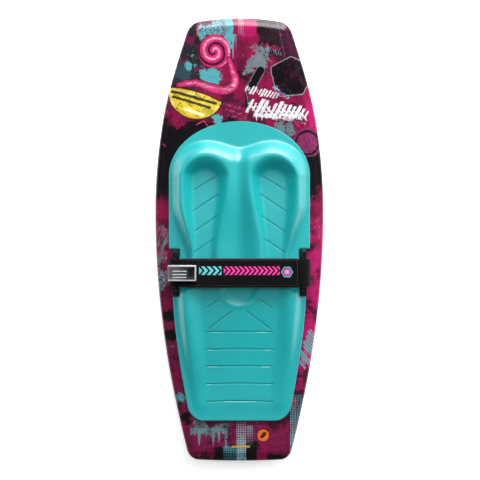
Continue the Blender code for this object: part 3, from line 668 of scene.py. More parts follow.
def print_nose(art):
    """Torn blocks of colour across the nose, with drips and screen dots."""
    g = art.g
    mottle = g.mix(g.span(art.grit, 0.44, 0.56), CHARCOAL, srgb(28, 26, 30))
    mottle = g.mix(g.span(art.ragged_noise, 0.50, 0.58), mottle, srgb(118, 26, 72))
    art.block(mottle, (-240, -100, 430, 660), 10, 50)
    art.block(srgb(178, 30, 96), (-122, -104, 598, 628), 4, 20)
    art.screen(-133, -116, 570, 640, INK, 4.0, 0.2, 0.4)
    art.block(TEAL, (-110, -40, 582, 650), 5, 60, (art.grit, 0.40, 0.52))
    art.block(MAGENTA, (-20, 50, 512, 655), 4, 16)
    art.drips(-44, -8, 600, 75, TEAL, 130.0)
    art.block(TEAL, (-44, -20, 556, 655), 3, 10, (art.grit, 0.36, 0.44))
    art.block(BRIGHT_MAGENTA, (16, 49, 596, 655), 4, 34)
    art.screen(-4, 15, 596, 652, PALE_PINK, 4.4, 0.30, 0.16)
    art.screen(-8, 22, 474, 590, INK, 4.4, 0.20, 0.42)
    art.block(srgb(34, 26, 30), (49, 120, 545, 660), 5, 24)
    art.block(INK, (49, 110, 560, 660), 6, 30, (art.cloud, 0.46, 0.54))
    art.block(PURPLE, (112, 178, 500, 660), 6, 30)
    art.block(srgb(92, 22, 56), (56, 184, 506, 660), 10, 50, (art.grit, 0.54, 0.64))
    art.block(srgb(104, 112, 118), (26, 92, 505, 572), 8, 44, (art.cloud, 0.42, 0.50))
    art.hatching((62, 574), (120, 556), 16, 6, 1.6, PINK)
    art.hatching((64, 562), (122, 545), 14, 7, 1.4, TEAL, -0.5)
    art.brushed([(110, 638), (133, 536), (150, 490)], 0.3, srgb(128, 112, 122))
    art.block(BRIGHT_MAGENTA, (176, 212, 470, 570), 8, 36)
    art.block(BRIGHT_MAGENTA, (196, 240, 318, 470), 6, 20)
    art.block(INK, (26, 120, 470, 512), 10, 40, (art.grit, 0.52, 0.60))


def print_blots(art):
    """Heavy black strokes and a round blot with pale edges, and rows of white strokes over them."""
    g = art.g
    art.brushed([(-2, 492), (18, 392)], 9, INK, edge=GREY_TEAL)
    art.brushed([(-14, 452), (-10, 418)], 5, INK, edge=GREY_TEAL)
    art.brushed([(62, 498), (36, 452)], 11, INK, edge=GREY_TEAL)
    patch = mm((92, 506), (112, 424), (186, 430), (206, 470), (196, 520), (150, 536))
    blot = g.most(g.polygon(art.rough, patch), g.disc(art.rough, (0.148, 0.478), 0.060))
    art.paint(srgb(126, 126, 132), g.inside(g.minus(blot, 0.0026)))
    art.paint(INK, g.inside(blot))
    art.paint(PURPLE, g.both(g.inside(blot), g.span(art.ragged_noise, 0.50, 0.60)))
    art.paint(MAGENTA, g.both(g.inside(blot), g.span(g.cells(art.rough, 105.0), 0.15, 0.10)))
    art.brushed([(104, 450), (118, 432), (142, 420)], 6, srgb(110, 170, 196), 20)
    art.brushed([(108, 440), (126, 424)], 3, BRIGHT_MAGENTA)
    art.paint(srgb(62, 60, 66), g.both(g.inside(blot), art.streaks(70, 0.60, 0.70)))
    art.hatching((16, 446), (114, 424), 26, 8.5, 4.0, PALE)
    art.hatching((24, 396), (204, 368), 58, 14, 7.4, PALE)
    art.hatching((30, 392), (200, 362), 30, 17, 4.6, PALE, -1.1)
    art.brushed([(40, 366), (110, 362), (192, 344)], 2.6, PALE, -8)
    art.drips(40, 190, 372, 22, PALE, 170.0)
    art.block(GREY_TEAL, (104, 168, 300, 354), 6, 30, (art.grit, 0.40, 0.50))
    art.splat((169, 341), 13, INK, 1.3)
    art.splat((169, 341), 8, BRIGHT_MAGENTA, 1.2)
    centre = (0.200, 0.287)
    ring = g.minus(g.math("ABSOLUTE", g.disc(art.rough, centre, 0.034)), 0.0030)
    worn = g.span(art.grit, 0.38, 0.52)
    art.paint(srgb(120, 40, 84), g.both(g.inside(g.disc(art.ragged, centre, 0.046)), worn))
    art.paint(INK, g.inside(ring))


def print_curl(art):
    """A spiral ribbon of pink paint and a wide sweep under it."""
    g = art.g
    centre, pitch = (-0.074, 0.552, 0.0), 0.030
    off = g.vector("SUBTRACT", g.warp(art.point, 24.0, 0.008, 2.0), centre)
    radius = g.vector("LENGTH", off)
    angle = g.math("ARCTAN2", g.part(off, "Y"), g.part(off, "X"))
    turn = g.plus(g.math("DIVIDE", radius, pitch), g.math("DIVIDE", angle, 2 * math.pi))
    place = g.math("ABSOLUTE", g.minus(g.math("FRACT", g.plus(turn, 4.0)), 0.5))
    inside = g.span(radius, 0.049, 0.047)
    art.paint(DEEP_MAGENTA, inside)
    art.paint(srgb(176, 28, 88), g.both(inside, g.span(place, 0.40, 0.36)))
    art.paint(PINK, g.both(inside, g.span(place, 0.34, 0.18)))
    art.paint(PALE_PINK, g.both(inside, g.both(g.span(place, 0.15, 0.04), g.span(art.grit, 0.64, 0.46))))
    bends = (-30, 530), (-20, 496), (-12, 474), (-18, 452), (-46, 440), (-86, 448), (-132, 462), (-178, 455)
    sweep = smooth_path(mm(*bends), steps=2)
    widths = 0.0055 + 0.0070 * np.sin(np.linspace(0.15, 2.9, len(sweep) - 1))
    ribbon = g.union([g.capsule(art.rough, a, b, w) for a, b, w in zip(sweep, sweep[1:], widths)])
    art.paint(DEEP_MAGENTA, g.inside(g.minus(ribbon, 0.0022)))
    art.paint(srgb(176, 28, 88), g.inside(ribbon))
    art.paint(PINK, g.both(g.inside(g.plus(ribbon, 0.0030), 0.0020), g.span(art.grit, 0.70, 0.50)))
    art.paint(PALE_PINK, g.both(g.inside(g.plus(ribbon, 0.0072), 0.0014), art.streaks(165)))
    art.block(srgb(86, 18, 52), (-54, 12, 352, 420), 6, 36, (art.cloud, 0.36, 0.44))
    for left, top in ((-48, 402), (-42, 386), (-36, 370)):
        art.hatching((left, top), (8, max(top - 16, 356)), 9, 7, 2.4, PINK, 0.8)


def print_leaf(art):
    """A plain yellow half-round with a thin dark edge and two stripes."""
    g = art.g
    round_side = g.ellipse(art.point, (-0.129, 0.428), (0.079, 0.070), -16)
    flat_side = g.disc(art.point, (-0.2315, 0.070), 0.380)
    leaf = g.most(round_side, flat_side)
    art.paint(INK, g.inside(g.minus(leaf, 0.0030)))
    shade = g.mix(g.span(g.plus(leaf, g.times(art.cloud, 0.012)), -0.004, 0.008), YELLOW, srgb(176, 134, 34))
    shade = g.mix(g.span(g.noise(art.point, 26.0, 2.0), 0.46, 0.66), shade, PALE_YELLOW)
    art.paint(shade, g.inside(leaf))
    for start, end, width in (((-198, 438), (-70, 402), 4.2), ((-194, 422), (-88, 390), 3.8)):
        stripe = g.most(g.capsule(art.rough, *mm(start, end), width / 1000), leaf)
        art.paint(srgb(62, 56, 40), g.inside(stripe))
    art.paint(srgb(74, 66, 30), g.both(g.inside(leaf), g.span(g.cells(art.rough, 80.0), 0.20, 0.14)))
    glint = g.most(g.capsule(art.rough, *mm((-160, 386), (-108, 368)), 0.004), leaf)
    art.paint(srgb(250, 242, 180), g.inside(glint))


def print_nose_splashes(art):
    """Splashes on the left of the nose."""
    for place, radius, colour, spread in (
        ((-165, 492), 26, srgb(40, 66, 72), 1.7), ((-87, 478), 30, TEAL, 1.7), ((-142, 512), 9, TEAL, 2.4),
    ):
        art.splat(place, radius, colour, spread)
    art.brushed([(-134, 530), (-138, 492)], 3.5, CHARCOAL)
    art.brushed([(-134, 532), (-134, 533)], 14, CHARCOAL, edge=INK)
    art.brushed([(-139, 538), (-137, 541)], 3, GREY_TEAL)
    art.splat((-68, 354), 17, TEAL, 2.0)
    art.splat((-182, 346), 20, MAGENTA, 1.6)
    art.brushed([(-128, 340), (-104, 352), (-92, 334), (-66, 340)], 1.2, PINK)
    art.brushed([(-226, 284), (-219, 278)], 2.4, MAGENTA)


def print_sides(art):
    """Brush marks and blots down the left side; dots and a scribble down the right."""
    g = art.g
    left_paint = g.both(art.zone(-252, -206, -70, 56, 10, 40), art.streaks(64, 0.47, 0.55, 190.0, 14.0))
    art.paint(GREY_TEAL, left_paint)
    art.block(TEAL, (-245, -214, -146, -80), 6, 30, (art.grit, 0.47, 0.55))
    art.block(PALE, (-240, -218, -140, -90), 6, 20, (art.grit, 0.62, 0.68))
    for place, radius in (((-208, -224), 14), ((-206, -281), 18), ((-192, -350), 12)):
        art.splat(place, radius, INK)
    art.screen(214, 246, -180, 62, srgb(96, 14, 54), 5.4, 0.30, 0.14, square=False)
    art.block(PALE_PINK, (222, 246, 0, 70), 6, 20, (art.grit, 0.61, 0.66))
    art.hatching((184, -372), (218, -272), 40, 9, 5.0, TEAL, 0.6)
    art.screen(166, 192, -482, -405, PURPLE, 4.8, 0.16, 0.42, square=False)


def print_tail(art):
    """Dark magenta with blocks of dripping teal, screen columns, a plain dot and a plain strip."""
    g = art.g
    art.block(srgb(104, 16, 56), (-152, 160, -660, -520), 26, 70)
    art.block(INK, (-152, 152, -660, -560), 16, 60, (art.cloud, 0.53, 0.58))
    for place, radius in (((-158, -458), 9), ((-163, -517), 10), ((-152, -536), 7)):
        art.splat(place, radius, INK)
    art.splat((-173, -462), 15, TEAL, 2.2)
    art.screen(166, 192, -482, -405, PURPLE, 4.8, 0.16, 0.42, square=False)
    art.block(PURPLE, (150, 196, -660, -440), 10, 30)
    art.screen(148, 190, -650, -455, srgb(96, 176, 184), 4.8, 0.20, 0.44, square=False)
    art.block(srgb(120, 34, 78), (-140, 150, -640, -540), 8, 60, (art.grit, 0.54, 0.62))
    art.block(GREY_TEAL, (-156, -26, -566, -524), 12, 60, (art.grit, 0.40, 0.52))
    art.drips(-146, -34, -552, 62, GREY_TEAL, 62.0)
    art.block(INK, (-60, -8, -600, -540), 10, 50, (art.grit, 0.46, 0.56))
    art.block(INK, (-76, -4, -660, -606), 4, 30)
    art.block(INK, (17, 52, -660, -592), 4, 18)
    art.block(INK, (78, 150, -660, -628), 4, 20)
    art.screen(-9, 21, -652, -532, srgb(126, 190, 196), 5.0, 0.16, 0.44)
    art.screen(21, 40, -603, -544, TEAL, 5.0, 0.36, 0.10)
    art.screen(-48, -6, -652, -603, TEAL, 5.0, 0.36, 0.20)
    art.screen(51, 82, -652, -585, BRIGHT_MAGENTA, 5.0, 0.12, 0.44)
    art.brushed([(69.5, -573), (70, -573)], 17, srgb(206, 92, 40), edge=INK)
    art.brushed([(66, -577), (75, -568)], 5, srgb(58, 34, 30))
    art.paint(srgb(176, 142, 60), g.inside(g.box(art.point, (-0.022, -0.6085), (0.031, -0.6030)), 0.0004))


def deck_material(name, *layers):
    g = Graph(name, Roughness=0.30, Specular_IOR_Level=0.3, Coat_Weight=0.18, Coat_Roughness=0.10)
    art = Print(g)
    for layer in (print_ground, *layers):
        layer(art)
    for scale, colour, start in ((150.0, INK, 0.48), (190.0, TEAL, 0.57), (260.0, PALE_PINK, 0.62)):
        speck = g.span(g.cells(art.rough, scale), 0.21, 0.14)
        art.paint(colour, g.both(speck, g.span(g.noise(art.point, scale / 9, 3.0), start, start + 0.08)))
    smoke = g.both(g.span(art.ragged_noise, 0.48, 0.66), 0.42)
    art.paint(srgb(12, 7, 11), smoke)
    g.set("Base Color", art.colour)
    orange_peel = g.noise(g.place, 240.0, 2.0)
    g.set("Normal", g.bump(orange_peel, 0.0002, 0.25))
    return g.material


SHOULDER_Y, TAIL_PRINT_Y, NOSE_SPLIT_X = 0.235, -0.430, 0.014


def print_deck(deck):
    """Four materials, each with the layers of its own part of the deck, so that none is too large."""
    for material in (
        deck_material("print_nose_left", print_nose, print_nose_splashes, print_curl, print_leaf),
        deck_material("print_nose_right", print_nose, print_blots),
        deck_material("print_sides", print_sides),
        deck_material("print_tail", print_tail),
    ):
        deck.data.materials.append(material)
    for face in deck.data.polygons:
        x, y, _ = face.center
        if y > SHOULDER_Y:
            face.material_index = 0 if x < NOSE_SPLIT_X else 1
        else:
            face.material_index = 2 if y > TAIL_PRINT_Y else 3


# ---- Plain materials ---------------------------------------------------------------------------


def hull_material():
    g = Graph("hull_plastic", Roughness=0.38)
    grain = g.noise(g.place, 700.0, 3.0)
    scuffs = g.noise(g.vector("MULTIPLY", g.place, (40.0, 1.5, 40.0)), 1.0, 4.0)
    g.set("Base Color", g.mix(g.span(scuffs, 0.5, 0.8), srgb(24, 24, 27), srgb(44, 43, 47)))
    g.set("Roughness", g.plus(g.times(scuffs, 0.25), 0.22))
    g.set("Normal", g.bump(grain, 0.0002, 0.35))
    return g.material


def pad_material():
    """Closed-cell foam with fine pores, with painted shade along its moulded grooves."""
    g = Graph("eva_foam", Roughness=0.4, Specular_IOR_Level=1.0)
    cloud = g.noise(g.place, 9.0, 3.0)
    tone = g.mix(g.span(cloud, 0.30, 0.72), srgb(6, 142, 146), srgb(10, 154, 157))
    pore = g.noise(g.place, 1600.0, 2.0)
    tone = g.mix(g.span(pore, 0.30, 0.75), tone, srgb(16, 163, 165))

    x = g.math("ABSOLUTE", g.part(g.place, "X"))
    y = g.minus(g.part(g.place, "Y"), GROOVE_SHADE_SHIFT)
    folded = g.joined(g.times(x, -1.0), y)
    lines = [g.capsule(folded, start, end, 0.0) for start, end in WELL_GROOVES + SEAT_DIAGONALS]
    sag = g.times(g.math("POWER", g.math("DIVIDE", x, SEAT_GROOVE_HALF), 2.0), SEAT_GROOVE_SAG)
    bowed = g.plus(y, sag)
    across = g.union([g.math("ABSOLUTE", g.minus(bowed, level)) for level in SEAT_GROOVES_Y])
    lines.append(g.most(across, g.minus(x, SEAT_GROOVE_HALF)))
    # Painted shade: a dark teal line along each groove, set a little toward the nose of it.
    shade = g.span(g.union(lines), 0.0017, 0.0004)
    g.set("Base Color", g.mix(g.times(shade, 0.8), tone, srgb(4, 84, 88)))

    g.set("Roughness", g.plus(g.times(pore, 0.10), 0.34))
    g.set("Normal", g.bump(pore, 0.0003, 0.25))
    return g.material


WEAVE_PITCH = 0.0016
STRAP_TEAL = srgb(96, 186, 190)


def weave_height(g, pitch):
    """A plain weave: ribs one way lie over ribs the other way, in turn."""
    x = g.times(g.part(g.place, "X"), math.pi / pitch)
    y = g.times(g.part(g.place, "Y"), math.pi / pitch)
    over = g.times(g.math("SINE", x), g.math("SINE", y))
    warp = g.math("ABSOLUTE", g.math("COSINE", g.plus(x, math.pi / 2)))
    weft = g.math("ABSOLUTE", g.math("COSINE", g.plus(y, math.pi / 2)))
    return g.plus(g.times(over, 0.25), g.times(g.most(warp, weft), 0.5))


def woven(g, pitch, low, high):
    """Gives the material a weave's bump. Returns its height, its fuzz and its colour between two tones:
    painted light on the raised threads and painted shade in the hollows, mixed with random fuzz.
    """
    height = weave_height(g, pitch)
    fuzz = g.noise(g.place, 900.0, 2.0)
    g.set("Normal", g.bump(height, 0.0004, 0.5))
    # Painted light and shade: the weave's raised threads lighter and its hollows darker, mixed with random
    # fuzz.
    return height, fuzz, g.mix(g.times(g.plus(height, fuzz), 0.7), srgb(*low), srgb(*high))


def webbing_material(name="webbing_black", colour=(8, 7, 8), pitch=WEAVE_PITCH):
    g = Graph(name, Roughness=0.7, Specular_IOR_Level=0.15)
    _, _, shade = woven(g, pitch, [c * 0.72 for c in colour], [c * 1.25 for c in colour])
    g.set("Base Color", shade)
    return g.material


def strap_material():
    """The cover's weave with a row of printed chevrons and a plain hexagon."""
    g = Graph("printed_webbing", Roughness=0.7, Specular_IOR_Level=0.15)
    height, fuzz, colour = woven(g, WEAVE_PITCH, (3, 3, 3), (13, 11, 12))
    x, y = g.part(g.place, "X"), g.part(g.place, "Y")
    off = g.math("ABSOLUTE", g.minus(y, STRAP_Y + 0.007))
    swept = g.plus(x, g.times(off, 0.9))
    ink_wear = g.span(g.plus(fuzz, height), 0.30, 0.62)
    for left, right, pitch, duty, tone in ((-0.118, -0.052, 0.0165, 0.62, STRAP_TEAL),
                                           (-0.046, 0.118, 0.0137, 0.56, srgb(226, 60, 150))):
        share = g.math("FRACT", g.math("DIVIDE", g.minus(swept, left), pitch))
        stripe = g.both(g.span(share, 0.03, 0.07), g.span(share, duty + 0.02, duty - 0.02))
        within = g.both(g.span(x, left, left + 0.0006), g.span(x, right, right - 0.0006))
        row = g.both(g.span(off, 0.0128, 0.0122), within)
        colour = g.mix(g.both(g.both(stripe, row), ink_wear), colour, tone)
    corners = [math.radians(60 * k) for k in range(6)]
    hexagon = g.polygon(g.flat(g.place), [(0.139 + math.cos(a), -0.093 + math.sin(a)) for a in corners])
    hexagon = g.plus(hexagon, math.cos(math.radians(30)))
    for size, tone in ((0.0150, STRAP_TEAL), (0.0128, srgb(40, 24, 40)), (0.0104, srgb(214, 60, 140)),
                       (0.0050, STRAP_TEAL)):
        colour = g.mix(g.both(g.span(hexagon, size + 0.0003, size - 0.0003), ink_wear), colour, tone)
    g.set("Base Color", colour)
    return g.material


def plain(name, pattern, low, high, bump=None, rough=None, **values):
    """A material whose colour, fine bump and roughness follow one pattern."""
    g = Graph(name, **values)
    value = pattern(g)
    g.set("Base Color", g.mix(value, srgb(*low), srgb(*high)))
    if rough:
        g.set("Roughness", g.plus(g.times(value, rough[0]), rough[1]))
    if bump:
        g.set("Normal", g.bump(value, *bump))
    return g.material


def grain(scale):
    return lambda g: g.noise(g.place, scale, 3.0)


def streaked(scales, detail):
    """Noise drawn out into streaks, with a scale for each axis."""
    return lambda g: g.noise(g.vector("MULTIPLY", g.place, scales), 1.0, detail)


def tufts(scale, squeeze=1.0):
    return lambda g: g.cells(g.vector("MULTIPLY", g.place, (1.0, squeeze, 1.0)), scale)


def neoprene_material():
    fabric = {"Roughness": 0.8, "Sheen_Weight": 0.2, "Sheen_Roughness": 0.5}
    return plain("neoprene", tufts(900.0, 1.6), (16, 15, 17), (36, 34, 38), (0.0003, 0.4), **fabric)


def pile_material(name, colour, scale):
    fabric = {"Roughness": 0.95, "Sheen_Weight": 0.4, "Sheen_Roughness": 0.6}
    return plain(name, tufts(scale), colour, [c * 1.8 for c in colour], (0.0008, 0.8), **fabric)


def moulded_material():
    colours = (18, 18, 20), (34, 34, 37)
    return plain("moulded_nylon", grain(1400.0), *colours, (0.0002, 0.4), (0.3, 0.35), Roughness=0.5)


def steel_material(name="brushed_steel", tone=(176, 176, 180)):
    """Brushed along X: streaks in the roughness and a fine bump across them."""
    streaks = streaked((60.0, 2600.0, 2600.0), 3.0)
    dull = [c * 0.86 for c in tone]
    return plain(name, streaks, dull, tone, (0.0001, 0.25), (0.25, 0.16), Metallic=1.0, Roughness=0.3)


def brass_material():
    rings = streaked((200.0, 200.0, 3000.0), 2.0)
    return plain("turned_brass", rings, (180, 140, 70), (214, 176, 96), Metallic=1.0, Roughness=0.3)


def foam_material():
    return plain("core_foam", tufts(900.0), (214, 200, 150), (240, 230, 190), (0.0005, 0.6), Roughness=0.95)


def film_material():
    colours = (190, 190, 180), (220, 220, 212)
    return plain("adhesive_film", grain(120.0), *colours, (0.0003, 0.3), Roughness=0.4)


# ---- Board and pad -----------------------------------------------------------------------------


def finish(obj, material, body, slot_name, *nodes):
    """Gives a piece its material, the body it moves with and the nodes it stands for. slot_name is not used.
    """
    if material is not None:
        obj.data.materials.clear()
        obj.data.materials.append(material)
    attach(obj, body)
    if nodes:
        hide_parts(*nodes)


def make_board():
    rail = (0, 0.0004, 0.0010, 0.0018, 0.0028, 0.004, 0.0055, 0.007, 0.009, 0.012, 0.016, 0.020, 0.025, 0.030)
    deck = board_shell("deck_shell", rail, np.linspace(0.66, 0.08, 9), deck_height)
    print_deck(deck)
    finish(deck, None, "board", "deck_graphic", "deck_skin")
    chine = (0, 0.0004, 0.0012, 0.0024, 0.004, 0.006, 0.008, 0.011, 0.014, 0.020, 0.028, 0.038, 0.048, 0.055)
    hull = board_shell("hull_shell", chine, np.linspace(0.64, 0.04, 20), hull_height)
    finish(hull, hull_material(), "board", "hull", "bottom_skin")


# Pad plan and relief: sizes along the deck in metres, heights over the deck.
PAD_HALF, PAD_ARCH_Y, PAD_ARCH_RISE = 0.208, 0.189, 0.161
PAD_TAIL_Y, PAD_TAIL_RADIUS = -0.531, 0.042
PAD_LOWER_Y, PAD_LOWER_HALF, PAD_LOWER_TAPER = -0.165, 0.196, 0.042
NOTCH_TOP_Y, NOTCH_END_Y, NOTCH_HALF = -0.0255, -0.1665, 0.1765
PAD_RISE = 0.0013
FLANGE, FLANGE_ROUND = 0.0085, 0.0035
LOBE_X, LOBE_Y, LOBE_RADIUS, LOBE_EASE = 0.098, 0.185, 0.105, 0.022
BRIDGE_Y, BRIDGE_BLEND, WELL_TOP_RADIUS = 0.266, 0.030, 0.067


def pad_side(y):
    arch = PAD_HALF * np.sqrt(1 - np.clip((y - PAD_ARCH_Y) / PAD_ARCH_RISE, 0, 1) ** 2)
    upper = mix(PAD_LOWER_HALF, arch, smoothstep(PAD_LOWER_Y, 0.0, y))
    share = np.maximum(0.0, (PAD_LOWER_Y - y) / (PAD_LOWER_Y - PAD_TAIL_Y - 0.05))
    into_corner = np.clip(PAD_TAIL_RADIUS - (y - PAD_TAIL_Y), 0, PAD_TAIL_RADIUS)
    corner = PAD_TAIL_RADIUS - np.sqrt(PAD_TAIL_RADIUS**2 - into_corner**2)
    return np.where(y > PAD_LOWER_Y, upper, PAD_LOWER_HALF - PAD_LOWER_TAPER * share**1.5 - corner)


def pad_half_width(y):
    return np.where((y > NOTCH_END_Y) & (y < NOTCH_TOP_Y), NOTCH_HALF, pad_side(y))


def smooth_union(a, b, reach):
    share = np.clip(0.5 + 0.5 * (b - a) / reach, 0, 1)
    return mix(b, a, share) - reach * share * (1 - share)


def pad_shape(x, y):
    """Height of the pad's mouldings over the deck: two kneeling wells, ridges, a centre valley, a seat."""
    u = np.abs(x)
    front = smoothstep(LOBE_Y, 0.240, y)
    crest_in = 0.030 + 0.034 * smoothstep(0.190, -0.050, y)
    crest_out = 0.171 - 0.025 * smoothstep(0.160, -0.060, y)

    eased = np.hypot(x, LOBE_EASE)
    lobe = np.hypot(eased - LOBE_X, np.maximum(0.0, y - LOBE_Y)) - LOBE_RADIUS
    bridge = np.maximum(u - LOBE_X + 0.002, y - BRIDGE_Y)
    waist = smoothstep(0.115, -0.055, y) * (1 - smoothstep(-0.120, -0.175, y))
    foot = np.minimum(0.201 - 0.045 * waist, pad_side(y) - 0.008)
    outline = np.where(y > LOBE_Y, smooth_union(lobe, bridge, BRIDGE_BLEND), u - foot)
    share = np.clip(-outline / (0.029 + 0.017 * front), 0, 1)
    block = mix(share**2 * (3 - 2 * share), share * (2 - share), front) * (1 - smoothstep(-0.474, -0.520, y))

    rear = mix(0.012, 0.038, smoothstep(-0.520, -0.190, y))
    crest = mix(0.040, 0.052, smoothstep(-0.030, 0.180, y))
    crest = np.where(y < -0.120, np.minimum(crest, rear), crest)
    inner_crest = mix(0.034, 0.050, smoothstep(-0.050, 0.200, y))

    centre, half = (crest_in + crest_out) / 2, (crest_out - crest_in) / 2
    reach = np.hypot((u - centre) / half, np.maximum(0.0, y - LOBE_Y) / WELL_TOP_RADIUS)
    floor = mix(0.0120, 0.0185, smoothstep(0.200, -0.040, y))
    wall = smoothstep(mix(0.50, 0.14, front), 1.0, reach)
    side_crest = mix(inner_crest, crest, smoothstep(-0.6, 0.6, (u - centre) / half))
    valley = mix(0.010, 0.040, smoothstep(-0.060, 0.235, y))
    middle = mix(valley, inner_crest, smoothstep(0.0, 1.0, u / crest_in))
    top = np.where(u < crest_in, middle, mix(floor, side_crest, wall))

    seat_half = mix(0.150, 0.128, smoothstep(-0.160, -0.480, y))
    seat_floor = mix(0.0200, 0.0105, smoothstep(-0.170, -0.480, y))
    seat = mix(seat_floor, crest, smoothstep(-0.042, 0.004, u - seat_half))
    bowl = np.hypot(u, np.minimum(0.0, y + 0.133)) / 0.059
    rim = 0.0016 * np.exp(-(((bowl - 1.06) / 0.07) ** 2))
    seat = mix(0.0080, seat, smoothstep(0.66, 1.0, bowl)) + rim
    top = mix(top, seat, smoothstep(-0.070, -0.150, y))
    return FLANGE + np.maximum(0.0, top - FLANGE) * block


def blurred(values, cells):
    """A soft average over a few cells each way, by two passes of a bell-shaped kernel."""
    kernel = np.exp(-0.5 * (np.arange(-3 * cells, 3 * cells + 1) / cells) ** 2)
    kernel /= kernel.sum()
    pad = 3 * cells
    for axis in (0, 1):
        wide = np.pad(values, [(pad, pad) if k == axis else (0, 0) for k in (0, 1)], mode="edge")
        values = np.apply_along_axis(lambda line: np.convolve(line, kernel, mode="valid"), axis, wide)
    return values


GROOVE_WIDTH, GROOVE_DEPTH = 0.0034, 0.0018
WELL_GROOVES = (
    mm((-135, 146), (-64, 190)), mm((-139, 83), (-60, 136)),
    mm((-135, 23), (-64, 72)), mm((-135, -38), (-72, 5)),
)
SEAT_GROOVES_Y = (-0.2688, -0.3202, -0.3700, -0.4214, -0.4728)
# GROOVE_SHADE_SHIFT moves the painted groove shade toward the nose.
SEAT_GROOVE_HALF, SEAT_GROOVE_SAG, GROOVE_SHADE_SHIFT = 0.099, 0.002, 0.0008
SEAT_DIAGONALS = mm((-92, -262), (-20, -208)), mm((-95, -199), (-62, -176))


def groove(x, y, start, end, sag=0.0):
    """How deep a moulded groove cuts at each point, fading out at both ends."""
    a, b = np.array(start), np.array(end)
    run = b - a
    share = ((x - a[0]) * run[0] + (y - a[1]) * run[1]) / run.dot(run)
    held = np.clip(share, 0, 1)
    bow = sag * (2 * held - 1) ** 2
    off = np.hypot(x - a[0] - held * run[0], y - a[1] - held * run[1] + bow)
    fade = smoothstep(0.0, 0.03, held) * smoothstep(1.0, 0.97, held)
    return GROOVE_DEPTH * np.clip(1 - off / (GROOVE_WIDTH / 2), 0, 1) ** 0.8 * (0.25 + 0.75 * fade)


def pad_grooves(x, y):
    depth = np.zeros_like(x)
    for side in (-1, 1):
        for start, end in WELL_GROOVES + SEAT_DIAGONALS:
            depth = np.maximum(depth, groove(x * side, y, start, end))
    for level in SEAT_GROOVES_Y:
        start, end = (-SEAT_GROOVE_HALF, level), (SEAT_GROOVE_HALF, level)
        depth = np.maximum(depth, groove(x, y, start, end, SEAT_GROOVE_SAG))
    return depth


def sampled(grid, low, step, x, y):
    """Reads a grid of values between its points."""
    i = np.clip((x - low[0]) / step, 0, grid.shape[1] - 1.001)
    j = np.clip((y - low[1]) / step, 0, grid.shape[0] - 1.001)
    i0, j0 = i.astype(int), j.astype(int)
    a, b = i - i0, j - j0
    near = mix(grid[j0, i0], grid[j0, i0 + 1], a)
    far = mix(grid[j0 + 1, i0], grid[j0 + 1, i0 + 1], a)
    return mix(near, far, b)


def pad_points():
    """The pad's upper surface as rows by columns of points."""
    step = 0.002
    grid_x, grid_y = np.arange(-0.212, 0.2121, step), np.arange(-0.536, 0.3541, step)
    relief = blurred(pad_shape(grid_x[None, :], grid_y[:, None]), 2)

    near = np.array([0, 0.0003, 0.0008, 0.0016, 0.0026, 0.0040])
    arch = PAD_ARCH_Y + PAD_ARCH_RISE * np.sin(np.radians(np.linspace(88.5, 10, 70)))
    front = np.linspace(PAD_ARCH_Y + 0.026, NOTCH_TOP_Y + 0.0045, 100)
    notch_front = np.concatenate([NOTCH_TOP_Y + near[::-1] + 0.0002, [NOTCH_TOP_Y - 0.0002]])
    notch = np.linspace(NOTCH_TOP_Y - 0.003, NOTCH_END_Y + 0.003, 56)
    notch_rear = np.concatenate([[NOTCH_END_Y + 0.0002], NOTCH_END_Y - near - 0.0002])
    rear = np.linspace(NOTCH_END_Y - 0.0065, PAD_TAIL_Y + PAD_TAIL_RADIUS + 0.002, 134)
    tail = PAD_TAIL_Y + PAD_TAIL_RADIUS * (1 - np.cos(np.radians(np.linspace(88, 0, 34))))
    y = np.concatenate([arch, front, notch_front, notch, notch_rear, rear, tail])[::-1, None]

    half = pad_half_width(y)
    inner = np.linspace(0.0, 0.150, 67)[::-1] * np.minimum(1.0, pad_side(y) * 0.74 / 0.150)
    edge = half - near[None, :]
    share = np.linspace(0, 1, 26)[None, 1:-1]
    between = edge[:, -1:] * (1 - share) + inner[:, :1] * share
    right = np.concatenate([edge, between, inner], axis=1)
    x = np.concatenate([-right[:, :-1], 0 * half, right[:, -2::-1]], axis=1)
    y = np.broadcast_to(y, x.shape)

    rise = sampled(relief, (grid_x[0], grid_y[0]), step, x, y) - pad_grooves(x, y)
    distance = np.minimum(half - np.abs(x), y - PAD_TAIL_Y)
    past_notch = np.where(y > NOTCH_TOP_Y, y - NOTCH_TOP_Y, NOTCH_END_Y - y)
    beside_notch = (np.abs(x) > NOTCH_HALF) & (past_notch > 0)
    distance = np.where(beside_notch, np.minimum(distance, past_notch), distance)
    rise -= FLANGE_ROUND * (1 - round_over(distance, FLANGE_ROUND))
    z = deck_height(x, 2 * y - crowned(x, y)) + PAD_RISE + rise
    return np.stack([x, y, z], axis=-1)


def make_pad():
    upper = pad_points()
    rows, columns = upper.shape[:2]
    loop = rim_loop(rows, columns)
    border = upper.reshape(-1, 3)[loop]
    low = border.copy()
    low[:, 2] = deck_height(low[:, 0], 2 * low[:, 1] - crowned(low[:, 0], low[:, 1])) + PAD_RISE
    count = rows * columns
    ring = range(count, count + len(loop))
    faces = grid_faces(rows, columns)
    faces += [(a, c, d, b) for a, b, c, d in zip(loop, loop[1:] + loop[:1], ring, [*ring[1:], ring[0]])]
    faces.append(tuple(ring))
    pad = add_mesh("knee_pad_foam", np.concatenate([upper.reshape(-1, 3), low]), faces, smooth_angle=60)
    finish(pad, pad_material(), "board", "eva_pad", "knee_pad")


# ---- Strap, buckle and anchors --------------------------------------------------------------------

